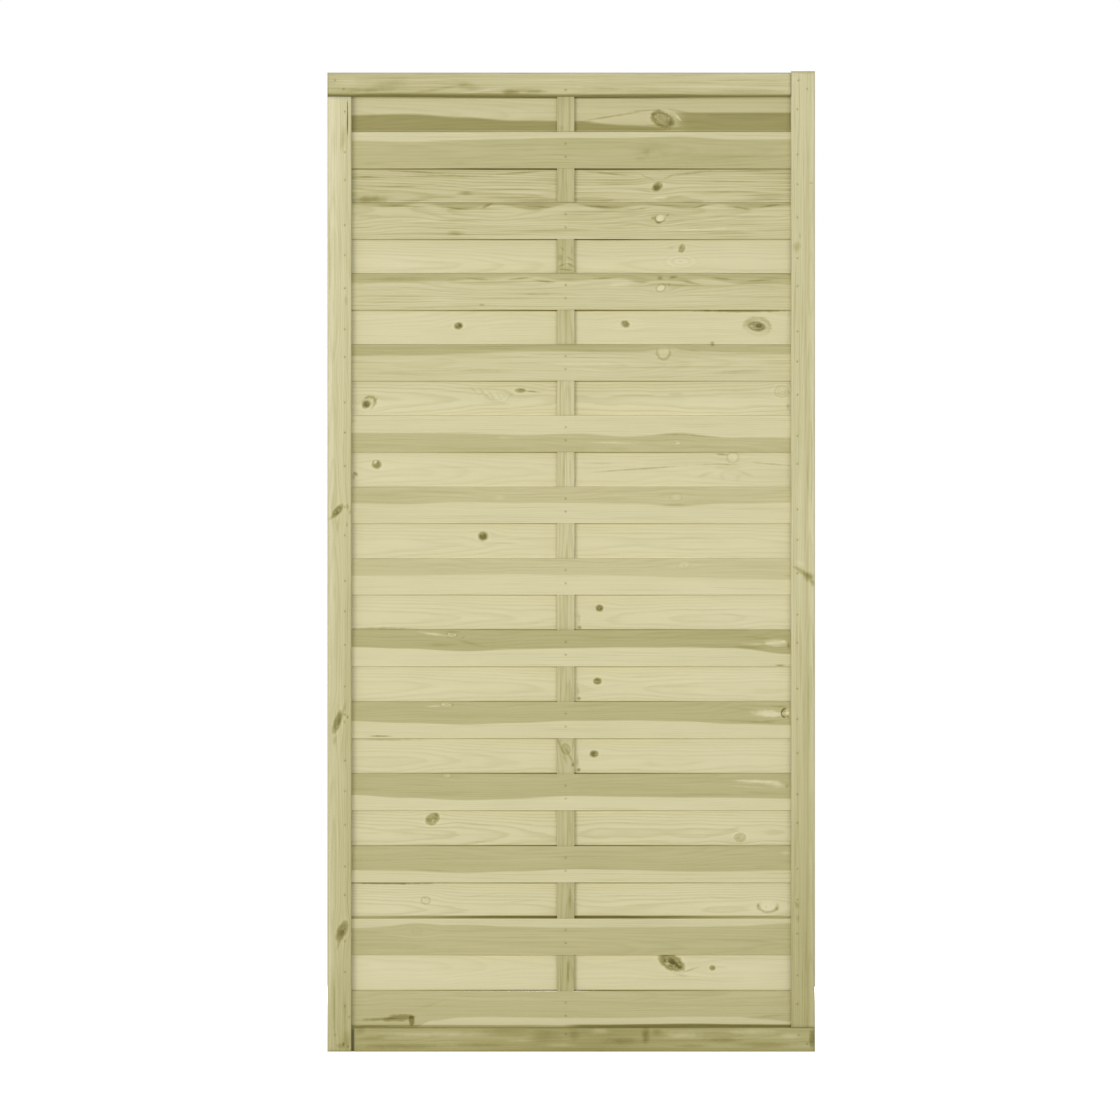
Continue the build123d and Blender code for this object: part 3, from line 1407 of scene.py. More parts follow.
# Looks of the slats from the top down, odd ones behind the centre batten
SLAT_LOOKS: tuple[SlatLook, ...] = (
    # Slat 1
    SlatLook(
        top=96, bottom=131.5, seam_shades=(1.7, -0.9), seam_mm=(2.4, 2.5),
        stops=((LEFT, 0.2), (560, 0.2), (620, 0.3), (RIGHT, 0.34)),
        bands=(
            Band(
                (114, 113, 116, 119.5, 120, 124, 125, 125, 125),
                (145,),
                0.93, reach=(300, 674), soft=1.6,
            ),
            Band((112,), (145,), 0.84, reach=(678, 830), soft=1.4),
        ),
        marks=(
            Knot(662.5, 118, 24, 15, 24, heart=0.6, rim=0.8, push=0.25, core=0.7),
            Blot(668, 121, 12, 8, 24, tone=0.6), Blot(653, 113, 7, 5, -50, tone=0.5),
            Blot(612, 115, 80, 3, -9, tone=0.6), Blot(648, 109, 44, 3, -3, tone=0.5),
            Blot(678, 109.5, 30, 3.4, 10, tone=0.4), Blot(586, 120.5, 30, 3, tone=0.4),
            Blot(678, 116, 3.4, 16, -42, tone=-0.7), Blot(655, 124, 30, 4, tone=0.4),
        ),
    ),
    # Slat 2
    SlatLook(
        top=131.5, bottom=168, seam_shades=(-0.4, 1.0), stops=((LEFT, 0.07), (RIGHT, 0.14)), figure=0.2,
        bands=(Band((140, 141, 140, 139, 138, 138, 136, 139, 139), (185,), 0.42, soft=1.2),),
        marks=(
            Blot(646, 152, 12, 16, tone=0.14), Blot(652, 148, 60, 20, tone=0.22),
            Blot(710, 157, 170, 22, tone=0.14), Blot(640, 158, 16, 7, tone=0.2),
            Blot(372, 163, 36, 4, tone=0.2), Blot(460, 163, 26, 2.6, tone=0.25),
        ),
    ),
    # Slat 3
    SlatLook(
        top=168, bottom=203.5, seam_shades=(2.2, -0.7), seam_mm=(2.0, 2.5),
        stops=((LEFT, 0.34), (500, 0.3), (600, 0.22), (RIGHT, 0.26)), rings=0.26, streaks=0.55,
        figure=0.6, pith=24.0,
        marks=(
            Knot(657.3, 187, 12, 8.5, -35, heart=1.6, rim=0.4), Blot(660, 184.5, 4, 3, -35, tone=-0.6),
            Blot(369, 200, 48, 11, -3, tone=0.8, core=0.15), Blot(466, 193.5, 24, 6, tone=0.65),
            Blot(400, 187, 70, 4, -2, tone=0.25), Blot(455, 176, 120, 3, 1, tone=0.45),
            Blot(420, 172.5, 90, 2.6, 3, tone=0.6), Blot(520, 173, 70, 2.8, -4, tone=0.6),
            Blot(610, 174, 60, 2.8, 6, tone=0.6), Blot(690, 173.5, 60, 2.6, -6, tone=0.55),
            Blot(752, 171, 60, 2.6, tone=0.5), Blot(366, 177, 30, 2.6, tone=0.6),
            Blot(660, 198, 26, 5, tone=-0.35), Blot(530, 201.5, 70, 4, tone=0.35),
            Blot(646, 177, 22, 2.4, 24, tone=0.4), Blot(669, 177, 22, 2.4, -24, tone=0.4),
            Blot(740, 192, 70, 3, tone=0.25),
        ),
    ),
    # Slat 4
    SlatLook(
        top=203.5, bottom=238.5, seam_shades=(-0.4, 1.0), stops=((LEFT, 0.24), (RIGHT, 0.25)), rings=0.2,
        streaks=0.42, figure=0.48, pith=-18.0,
        bands=(
            Band(
                (190,),
                (206, 208, 204, 209, 205, 210, 204.5, 209.5, 205, 208.5, 205, 209, 206),
                0.5, soft=1.2,
            ),
        ),
        marks=(
            Knot(660, 218.5, 11, 9, -25, heart=-0.35, rim=0.8, halo=0.0, side=120),
            Blot(653, 218.5, 6, 5, 20, tone=0.6), Blot(658.5, 222.5, 7, 4, tone=0.7),
            Blot(455, 233.5, 26, 7, tone=0.5), Blot(667.5, 215.5, 6, 3.4, -35, tone=0.6),
            Blot(487, 206, 20, 4, -25, tone=0.9), Blot(540, 207, 40, 3, 3, tone=0.7),
            Blot(700, 206.5, 26, 3, -12, tone=0.8), Blot(740, 208, 40, 3, 8, tone=0.7),
            Blot(400, 206, 60, 3.4, 2, tone=0.6), Blot(370, 216, 40, 4, tone=0.25),
            Blot(425, 221, 60, 4, tone=-0.18), Blot(690, 229, 150, 5, tone=-0.16),
            Blot(600, 207, 50, 3, 4, tone=0.6), Blot(450, 208, 50, 2.8, 6, tone=0.6),
            Blot(770, 206, 30, 3, -8, tone=0.6), Blot(640, 209, 40, 3, -8, tone=0.5),
            Blot(700, 213, 170, 10, tone=0.1), Blot(700, 230, 170, 8, tone=-0.08),
        ),
    ),
    # Slat 5
    SlatLook(
        top=238.5, bottom=275, seam_shades=(1.8, -0.4), seam_mm=(1.5, 2.5), stops=((LEFT, 0.03), (RIGHT, 0.03)),
        pith=14.0, rings=0.13,
        bands=(Band((220,), (256,), 0.05, soft=5.0),),
        marks=(
            # The first blot is painted shade along the seam under slat 4
            Blot(605, 239.6, 90, 4, tone=0.9), Knot(682, 249, 6.5, 9, 15, heart=1.0, rim=0.4),
            Blot(679, 252, 4, 4, tone=0.4), Blot(671, 248, 9, 6, tone=0.15),
            Knot(681, 262, 36, 14, heart=0.0, rim=0.0, halo=0.0, rings=0.1, push=0.4),
            Blot(410, 266, 110, 7, tone=-0.12), Blot(600, 268, 50, 5, tone=-0.1),
        ),
    ),
    # Slat 6
    SlatLook(
        top=275, bottom=309.5, seam_shades=(-0.4, 1.0), stops=((LEFT, 0.2), (RIGHT, 0.2)), rings=0.16,
        streaks=0.38, figure=0.42, pith=-20.0,
        bands=(Band((262,), (284, 283, 282, 279, 277, 282, 279, 284, 280, 285, 283), 0.4, soft=1.6),),
        marks=(
            Knot(661, 288.5, 11, 8, -25, heart=-0.25, rim=0.3), Blot(660, 278.5, 8, 6, tone=0.75),
            Blot(669, 285.5, 3, 4, tone=0.4), Blot(673, 278, 11, 5, -10, tone=0.8),
            Blot(520, 279, 34, 3, -6, tone=0.7), Blot(640, 282.5, 30, 2.8, 6, tone=0.5),
            Blot(545, 282, 30, 3, 5, tone=0.7), Blot(605, 279, 34, 3, -3, tone=0.6),
            Blot(720, 279, 34, 3, 4, tone=0.6), Blot(690, 283, 30, 3, 12, tone=0.5),
            Blot(400, 280, 100, 6, tone=0.22), Blot(535, 295, 50, 4, tone=0.28),
            Blot(482, 305.5, 8, 3, tone=0.6), Blot(440, 300, 60, 4, tone=-0.16),
            Blot(620, 285, 44, 5, -2, tone=-0.3), Blot(480, 280, 40, 2.8, 4, tone=0.5),
            Blot(760, 281, 50, 2.8, -3, tone=0.5), Blot(700, 286, 170, 12, tone=0.14),
        ),
    ),
    # Slat 7
    SlatLook(
        top=309.5, bottom=345, seam_shades=(1.9, -0.6), seam_mm=(1.9, 2.5), stops=((LEFT, 0.02), (RIGHT, 0.03)),
        pith=-30.0,
        marks=(
            Knot(458.5, 326, 9.5, 7.5, -15, heart=1.75, rim=0.4),
            Knot(625.5, 324, 9.5, 7.5, 20, heart=1.35, rim=0.4),
            Knot(757, 326.5, 19, 10.5, 10, heart=1.2, rim=0.6, core=0.7, halo=0.0),
            Blot(759, 326, 9, 6, 10, tone=1.2, core=0.4),
            Knot(757.5, 326.5, 27, 18.5, 4, heart=0.0, rim=0.4, halo=0.0, side=-80, push=0.0),
            Knot(757.5, 326.5, 26, 18, 4, heart=0.0, rim=0.16, halo=0.0, push=0.0),
            Blot(712.5, 343.5, 6, 5, tone=0.9), Blot(640, 331, 40, 3, tone=0.1),
            # Painted shade along the seam under slat 6
            Blot(740, 311, 120, 4, tone=1.0, core=0.3),
        ),
    ),
    # Slat 8
    SlatLook(
        top=345, bottom=381, seam_shades=(-0.4, 1.0), stops=((LEFT, 0.24), (RIGHT, 0.18)), streaks=0.4,
        figure=0.28,
        bands=(Band((330,), (356, 355, 354, 352.5, 352, 353, 351, 353, 354), 0.44, soft=1.6),),
        marks=(
            Knot(663.5, 353, 14, 15, heart=-0.08, rim=0.5, halo=0.0, side=90, push=0.6),
            Blot(712.5, 345.5, 7, 4, tone=0.8), Blot(692, 351, 40, 3, 4, tone=0.3),
            Blot(480, 371, 80, 6, tone=0.2), Blot(400, 374, 90, 5, tone=0.16),
            Blot(740, 372, 80, 6, -4, tone=0.2), Blot(590, 365, 110, 7, tone=-0.16),
            Blot(700, 354, 180, 12, tone=0.14), Blot(430, 354, 160, 8, tone=0.08),
        ),
    ),
    # Slat 9
    SlatLook(
        top=381, bottom=416.5, seam_shades=(1.2, -0.4), seam_mm=(1.2, 2.5), stops=((LEFT, 0.0), (RIGHT, 0.02)),
        pith=4.0, rings=0.2,
        bands=(Band((370,), (399,), 0.1, soft=5.0),),
        marks=(
            Knot(366, 405, 10, 8.5, -35, heart=1.6, rim=0.3), Blot(371, 406, 5, 3, -35, tone=-0.3),
            Knot(368.8, 403.2, 15, 12.5, -35, heart=0.3, rim=0.8, halo=0.0, side=-45, push=0.5),
            Blot(376, 400, 9, 3, -50, tone=0.4), Knot(520.5, 391, 12, 5, heart=1.1, rim=0.3),
            Blot(531, 392, 24, 2.4, 4, tone=0.9), Blot(511, 395, 8, 6, tone=0.15),
            Knot(782, 392, 15, 12, heart=0.06, rim=0.15, rings=0.1), Blot(788, 407, 5, 9, tone=0.5),
            Knot(495, 397, 36, 14, heart=0.0, rim=0.0, halo=0.0, rings=0.07, push=0.5),
            Blot(676, 395, 22, 6, tone=0.22), Blot(640, 396, 90, 2.6, tone=0.2),
            Blot(735, 391, 70, 2.6, tone=0.25), Blot(745, 398, 60, 2.4, tone=0.2),
            Blot(425, 389, 60, 2.6, tone=0.16), Blot(474, 391, 15, 2.8, 42, tone=0.22),
            Blot(483, 393, 17, 2.8, 46, tone=0.22), Blot(491, 395, 17, 2.8, 50, tone=0.22),
            Blot(499, 397, 15, 2.8, 52, tone=0.2), Blot(508, 399, 15, 3, -50, tone=0.2),
        ),
    ),
    # Slat 10
    SlatLook(
        top=416.5, bottom=451.5, seam_shades=(-0.4, 0.9), stops=((LEFT, 0.1), (RIGHT, 0.07)), pith=30.0,
        figure=0.18,
        bands=(Band((433, 433, 434, 435, 434, 437, 434, 438, 438), (475,), 0.42, soft=1.0),),
        marks=(
            Knot(676, 443, 10, 7, heart=-0.12, rim=0.06, halo=0.0, push=0.5),
            Blot(674.5, 442.5, 2.6, 2.2, tone=0.7), Blot(678.5, 443.5, 3.4, 2.6, tone=-0.6),
            Blot(676, 435, 46, 2.6, tone=0.4), Blot(352, 421, 14, 8, tone=0.3),
            Blot(612, 443, 80, 3, tone=-0.35), Blot(700, 436.5, 50, 2.4, 4, tone=0.4),
            Blot(505, 438, 24, 6, tone=-0.14), Blot(740, 444, 80, 5, tone=-0.1),
            Blot(380, 446, 60, 3, tone=0.15),
        ),
    ),
    # Slat 11
    SlatLook(
        top=451.5, bottom=486.5, seam_shades=(1.2, -0.4), seam_mm=(1.4, 2.5),
        stops=((LEFT, 0.02), (580, 0.02), (RIGHT, 0.08)), pith=6.0,
        marks=(
            Knot(376.5, 464, 10, 9.5, heart=1.5, rim=0.4), Blot(375.8, 461.5, 5, 4.2, -20, tone=-1.5),
            Blot(355.5, 473.5, 8, 5, 40, tone=1.1), Blot(353.5, 477, 4, 9, tone=0.6),
            Knot(733, 457, 13, 12, heart=-0.1, rim=0.22, halo=0.0), Blot(722, 454, 18, 3, 4, tone=0.9),
            Blot(728, 467, 34, 8, tone=0.12, core=0.4), Blot(640, 468.5, 130, 3, -4, tone=0.6),
            Blot(715, 464, 60, 2.8, tone=0.4), Blot(770, 463.5, 60, 2.8, 5, tone=0.4),
            Blot(600, 463, 50, 3, tone=0.25), Blot(705, 474, 26, 5, -20, tone=0.2),
            Blot(745, 473, 26, 5, 20, tone=0.2), Blot(722, 476, 8, 12, -25, tone=0.14),
            Blot(738, 477, 8, 12, 15, tone=0.12), Blot(690, 461, 190, 15, tone=0.1),
        ),
    ),
    # Slat 12
    SlatLook(
        top=486.5, bottom=522, seam_shades=(-0.4, 0.8), stops=((LEFT, 0.11), (RIGHT, 0.03)), pith=-34.0,
        figure=0.18,
        bands=(Band((470,), (502, 503, 501, 502, 502, 503, 505, 502, 501), 0.32, soft=1.0),),
        marks=(
            Knot(676, 496.5, 13, 8, heart=-0.08, rim=0.08, halo=0.0, rings=0.08, push=0.6),
            Blot(676, 504, 34, 2.6, tone=0.4), Blot(500, 497, 14, 7, tone=-0.14),
            Blot(440, 491, 110, 4, tone=0.1), Blot(620, 494, 90, 3, tone=-0.14),
        ),
    ),
    # Slat 13
    SlatLook(
        top=522, bottom=557, seam_shades=(0.9, -0.3), seam_mm=(1.0, 2.5), stops=((LEFT, 0.02), (RIGHT, 0.02)),
        pith=8.0, rings=0.13,
        marks=(
            Knot(483, 535, 10.5, 9.5, heart=1.8, rim=0.4), Blot(505, 542, 50, 3, 3, tone=0.22),
            Blot(520, 538, 60, 2.4, tone=0.16), Blot(440, 538, 70, 2.4, tone=0.18),
            Blot(470, 546, 30, 6, tone=0.1), Blot(640, 532, 130, 2.6, tone=0.14),
            Blot(700, 541, 130, 2.6, tone=0.12),
        ),
    ),
    # Slat 14
    SlatLook(
        top=557, bottom=592.5, seam_shades=(-0.3, 0.7), stops=((LEFT, 0.06), (RIGHT, 0.02)), pith=-34.0,
        figure=0.16,
        bands=(Band((540,), (574, 574, 573, 572.5, 574, 574, 575.5, 576.5, 577), 0.3, soft=1.0),),
        marks=(
            Knot(684, 563, 14, 8, -15, heart=-0.1, rim=0.06, halo=0.0, push=0.6),
            Blot(684, 564, 3, 4, tone=0.3), Blot(684, 560, 24, 3, tone=-0.2),
            Blot(790, 574, 14, 5, tone=0.2), Blot(450, 562, 130, 3, tone=0.08),
        ),
    ),
    # Slat 15
    SlatLook(
        top=592.5, bottom=627, seam_shades=(0.8, 1.2), seam_mm=(1.0, 1.1), stops=((LEFT, 0.02), (RIGHT, 0.0)),
        pith=10.0, rings=0.13,
        marks=(
            Knot(599.5, 605.5, 8.5, 7.5, heart=1.7, rim=0.4), Blot(579.5, 625, 6, 5, tone=1.2),
            Blot(579, 616, 4, 16, tone=0.4), Blot(745, 613, 80, 3, 5, tone=0.14),
            Blot(700, 607, 120, 2.4, tone=0.12), Blot(450, 611, 130, 3, tone=0.08),
            # Painted shade along the seam with slat 16
            Blot(385, 626, 100, 4, tone=0.7),
        ),
    ),
    # Slat 16
    SlatLook(
        top=627, bottom=663.5, seam_shades=(1.0, 0.7), stops=((LEFT, 0.03), (RIGHT, 0.1)), pith=-36.0,
        figure=0.16,
        bands=(Band((600,), (644, 645.5, 648, 646, 645, 644, 644, 645, 651), 0.64, soft=0.9),),
        marks=(
            Knot(452, 632, 12, 6, heart=-0.15, rim=0.2, halo=0.0, push=0.5),
            Blot(449, 630.5, 3, 3, tone=-0.6), Blot(455.5, 631.5, 3, 3, tone=-0.5),
            Blot(452, 628.8, 22, 2.2, tone=0.5), Blot(463, 634.5, 8, 3, -30, tone=0.3),
            Blot(434, 631, 40, 4, 7, tone=-0.6), Blot(470, 640, 44, 5, 14, tone=0.22),
            Blot(440, 642, 44, 5, tone=0.18), Blot(776, 640, 32, 11, 3, tone=-0.6, core=0.2),
            Blot(756, 641, 44, 4, tone=-0.35), Blot(784, 638, 8, 5, tone=-0.5),
            Blot(788.5, 642, 3.4, 10, tone=0.7), Blot(748, 644.5, 40, 5, 4, tone=0.3),
            Blot(760, 635, 50, 3, 4, tone=0.2), Blot(780, 662.5, 14, 3, tone=0.9),
        ),
    ),
    # Slat 17
    SlatLook(
        top=663.5, bottom=699.5, seam_shades=(0.7, 1.2), seam_mm=(1.0, 1.1),
        stops=((LEFT, 0.02), (RIGHT, 0.02)), pith=10.0, rings=0.13,
        marks=(
            Knot(597.5, 678.5, 9, 7.5, heart=1.7, rim=0.4), Blot(579, 696, 6, 5, tone=1.2),
            Blot(578, 688, 4, 16, tone=0.4), Blot(680, 684, 150, 2.6, tone=0.12),
            Blot(640, 674, 60, 2.4, tone=0.12), Blot(450, 680, 140, 3, tone=0.08),
        ),
    ),
    # Slat 18
    SlatLook(
        top=699.5, bottom=735.5, seam_shades=(1.0, 0.6), stops=((LEFT, 0.08), (RIGHT, 0.08)), pith=-36.0,
        figure=0.16,
        bands=(Band((670,), (718, 720, 722, 720, 718, 718, 718.5, 721.5, 723), 0.52, soft=0.9),),
        marks=(
            Knot(446, 702, 12, 6, heart=-0.15, rim=0.1, halo=0.0, push=0.5),
            Blot(443, 701.5, 4, 3, tone=-0.5), Blot(450, 702.5, 4, 3, 30, tone=-0.4),
            Blot(453, 703, 3, 4, 30, tone=0.4), Blot(434, 703.5, 24, 3, -6, tone=-0.3),
            Blot(447, 714, 90, 6, 2, tone=0.1), Blot(769, 711, 48, 10, 2, tone=-0.6, core=0.3),
            Blot(787, 710, 6, 9, tone=-0.7),
            Knot(784.5, 710.5, 6.5, 9, 5, heart=0.3, rim=1.9, halo=0.0, side=180, push=0.0),
            Blot(780, 704, 24, 3, 3, tone=0.35), Blot(788, 714, 3, 7, -25, tone=0.8),
            Blot(750, 719, 70, 3.4, 3, tone=0.3), Blot(740, 706, 60, 3, 5, tone=0.2),
            Blot(770, 718.5, 40, 3, -3, tone=0.3), Blot(380, 733.5, 34, 2.4, tone=1.1),
        ),
    ),
    # Slat 19
    SlatLook(
        top=735.5, bottom=771, seam_shades=(0.6, 1.6), seam_mm=(1.0, 1.6), stops=((LEFT, 0.03), (RIGHT, 0.03)),
        pith=10.0, rings=0.13,
        marks=(
            Knot(594, 751, 9.5, 7.5, heart=1.75, rim=0.4), Blot(578.5, 767, 6, 5, tone=1.3),
            Blot(577.5, 759, 4, 16, tone=0.4), Blot(480, 753, 110, 3, tone=0.12),
            # Blot(385, 736.5) is painted shade along the seam under slat 18
            Blot(690, 757, 150, 2.6, tone=0.1), Blot(385, 736.5, 100, 4, tone=0.45),
        ),
    ),
    # Slat 20
    SlatLook(
        top=771, bottom=807.5, seam_shades=(1.0, 0.5), stops=((LEFT, 0.05), (RIGHT, 0.06)), pith=-36.0,
        figure=0.16,
        bands=(Band((740,), (793, 795, 797, 795.5, 793.5, 794, 794, 795, 796), 0.53, soft=0.9),),
        marks=(
            Knot(447, 773, 12, 5, heart=-0.15, rim=0.1, halo=0.0, push=0.5),
            Blot(448, 773, 5, 2.6, tone=-0.4), Blot(450, 790, 80, 5, -3, tone=0.1),
            Blot(758, 778.5, 62, 5, 1, tone=-0.55, core=0.15), Blot(776, 781.5, 34, 8, 8, tone=-0.45),
            Blot(748, 784, 60, 3, 4, tone=-0.2), Blot(787, 783, 5, 7, tone=0.4),
            Blot(760, 790, 60, 3, 3, tone=0.18),
        ),
    ),
    # Slat 21
    SlatLook(
        top=807.5, bottom=843, seam_shades=(0.4, 1.75), seam_mm=(0.9, 1.6), stops=((LEFT, 0.03), (RIGHT, 0.04)),
        pith=12.0, rings=0.22,
        marks=(
            Knot(432.5, 816, 15, 11, -35, heart=1.0, rim=0.6), Blot(436.5, 812, 8, 3.6, 40, tone=0.7),
            Blot(433, 817.5, 9, 2.8, -40, tone=-0.8), Blot(427.5, 817, 4, 5, tone=0.4),
            Knot(740, 834.5, 12, 9, heart=0.42, rim=0.35), Blot(738, 835, 5, 2.4, -30, tone=0.3),
            Blot(432, 825, 60, 3, tone=0.2), Blot(420, 831, 90, 3, 3, tone=0.2),
            Blot(370, 830, 40, 3, tone=0.2), Blot(480, 822, 60, 2.6, 5, tone=0.2),
            Blot(700, 832, 60, 2.6, tone=0.2), Blot(650, 838, 60, 2.4, tone=0.18),
            Blot(480, 839, 40, 2.4, tone=0.2), Blot(733, 826, 24, 2.4, -14, tone=0.25),
        ),
    ),
    # Slat 22
    SlatLook(
        top=843, bottom=879, seam_shades=(1.0, 0.6), stops=((LEFT, 0.08), (RIGHT, 0.1)), pith=-30.0, figure=0.2,
        bands=(Band((820,), (867, 868, 869.5, 868, 866, 866.5, 867.5, 868, 867.5), 0.46, soft=0.9),),
        marks=(
            Blot(480, 855, 160, 4, tone=0.1), Blot(430, 867, 60, 3, 2, tone=0.25),
            Blot(786, 849, 14, 8, tone=-0.25), Blot(770, 863, 50, 4, tone=0.15),
        ),
    ),
    # Slat 23
    SlatLook(
        top=879, bottom=917, seam_shades=(0.9, 2.1), seam_mm=(1.2, 4.6), stops=((LEFT, 0.02), (RIGHT, 0.02)),
        pith=16.0, rings=0.2,
        marks=(
            Knot(425.5, 898, 9.5, 8.5, heart=0.08, rim=0.35, halo=0.0), Blot(425, 895.5, 4, 2, tone=0.3),
            Knot(768, 904, 20, 13, heart=-0.06, rim=0.6, halo=0.0, side=95),
            Blot(758, 903, 4, 7, tone=0.6), Blot(777, 906, 5, 7, tone=0.5),
            Blot(766, 904.5, 4, 3, tone=0.5), Blot(720, 895, 70, 3, 4, tone=0.16),
            Blot(630, 893, 90, 2.6, tone=0.16), Blot(480, 893, 60, 2.6, -6, tone=0.18),
            Blot(520, 899, 50, 2.6, -4, tone=0.2), Blot(380, 890, 50, 2.6, tone=0.16),
            # Painted shade along the seam under slat 22
            Blot(390, 880, 130, 5, tone=1.3, core=0.3),
        ),
    ),
    # Slat 24
    SlatLook(
        top=917, bottom=954, seam_shades=(1.0, -0.3), stops=((LEFT, 0.12), (RIGHT, 0.14)), pith=18.0,
        figure=0.2,
        bands=(Band((927, 924, 923, 926, 926, 926, 925.5, 924.5, 921.5), (985,), 0.38, soft=1.0),),
        marks=(
            Knot(417, 930, 12, 8, heart=0.08, rim=0.1, halo=0.0, push=0.9),
            Blot(450, 948, 120, 3, tone=0.12), Blot(760, 945, 60, 6, -8, tone=0.12),
        ),
    ),
    # Slat 25
    SlatLook(
        top=954, bottom=990, seam_shades=(-0.3, 1.8), seam_mm=(2.5, 1.7), stops=((LEFT, -0.05), (RIGHT, 0.0)),
        pith=-14.0,
        marks=(
            Knot(671.5, 961.5, 27, 15.5, 26, heart=1.2, rim=0.6, core=0.7, rings=0.18),
            Blot(672, 960.5, 11, 7, 40, tone=1.3, core=0.4), Blot(678, 965, 16, 5, 35, tone=1.1),
            Blot(664, 959, 5, 8, 10, tone=0.6), Blot(666.5, 963.5, 4, 5, -20, tone=-0.6),
            Blot(690, 969, 24, 3, -18, tone=0.5), Blot(665, 955, 30, 3, tone=0.35),
            Blot(680, 974, 24, 4, 10, tone=0.3), Knot(712.5, 967, 6.5, 5.5, heart=1.5, rim=0.4),
            Blot(722, 966, 18, 2.4, tone=0.25), Blot(690, 980, 190, 14, tone=0.1),
        ),
    ),
    # Slat 26
    SlatLook(
        top=990, bottom=1026.5, seam_shades=(1.0, 0.6), stops=((LEFT, 0.1), (RIGHT, 0.11)), pith=-30.0,
        figure=0.2,
        bands=(
            Band(
                (960,),
                (
                    1036, 1034, 1030, 1019.5, 1016.5, 1016, 1016.5, 1017, 1017, 1017, 1017, 1016.5, 1016,
                    1016, 1016, 1018, 1020,
                ),
                0.36, soft=0.9,
            ),
            # These two bands are painted shade along the joint with the bottom rail
            Band((1024.2,), (1045,), 0.8, reach=(300, 572), soft=0.8),
            Band((1023.6,), (1045,), 1.7, reach=(572, 830), soft=0.9),
        ),
        marks=(
            Blot(399, 1016.6, 36, 9, -5, tone=0.95, core=0.4),
            Blot(411.6, 1019.5, 7, 15, tone=1.2, core=0.45),
            # Blot(372, 1025) is painted shade along the same joint
            Blot(378, 1018.2, 54, 4.6, -3, tone=0.75, core=0.2), Blot(372, 1025, 60, 3, tone=0.5),
            Blot(430, 1004, 50, 5, -18, tone=0.12), Blot(770, 1015, 50, 3, -4, tone=0.3),
            Blot(650, 1003, 160, 4, tone=0.08),
        ),
    ),
)


@dataclass
class SlatWeave:
    """The slats, woven either side of the centre batten."""

    thickness: float = 5.0
    edge_round: float = 0.7
    # Painted highlight on the slats' outer arrises
    arris_highlight: float = -0.05
    seed_step: float = 3.7
    finish: PineFinish = PineFinish()

    def build(self, brads: BradSet) -> None:
        """Build and dress each slat from its node's box.

        Args:
            brads: the brads, for the dents over those that hold a slat to the batten.
        """
        boxes = [node_box(f"slat_{number:02d}") for number in range(1, len(SLAT_LOOKS) + 1)]
        batten_low, batten_high = node_box("centre_batten")
        leave = node_box("front_right_stile")[0][0]
        for index, (look, (low, high)) in enumerate(zip(SLAT_LOOKS, boxes)):
            number = index + 1
            node = f"slat_{number:02d}"
            layer = Layer.BACK if index % 2 == 0 else Layer.FRONT
            across = (low[2] + high[2]) / 2
            lap_above = high[2] - boxes[index - 1][0][2] if index else 0.0
            lap_below = boxes[number][1][2] - low[2] if number < len(boxes) else 0.0
            slat = Slat(
                name=f"{node}_board",
                grain=Grain.ALONG_X,
                layer=layer,
                section=Section(high[2] - low[2], self.thickness, self.edge_round, self.edge_round),
                start=low[0],
                end=high[0],
                across=across,
                depth_middle=layer.value * self.thickness / 2,
                seed=number,
                brads=self.crossing_brads(brads.heads(layer), low, high, leave),
                # Painted seam shade, and painted light below zero, along the lapped edges
                seam_shade=(lap_above + look.seam_mm[0], lap_below + look.seam_mm[1]),
                seam_shade_tone=look.seam_shades,
                arris_highlight=self.arris_highlight,
                rise=high[1] - low[1] - self.thickness,
                leave=leave,
                crossing=(batten_low[0], batten_high[0]),
            )
            shift = across - PHOTO.z((look.top + look.bottom) / 2)
            place = Place(Grain.ALONG_X, across, shift, number * self.seed_step)
            put(slat.build(), node, self.finish.make(f"pine_{node}", place, look))

    @staticmethod
    def crossing_brads(heads: np.ndarray, low: np.ndarray, high: np.ndarray, leave: float) -> np.ndarray:
        """The brads that hold a slat to the centre batten, not those under the stiles."""
        kept = within(heads, low, high, Grain.ALONG_X)
        return kept[np.abs(kept[:, 0]) < leave]


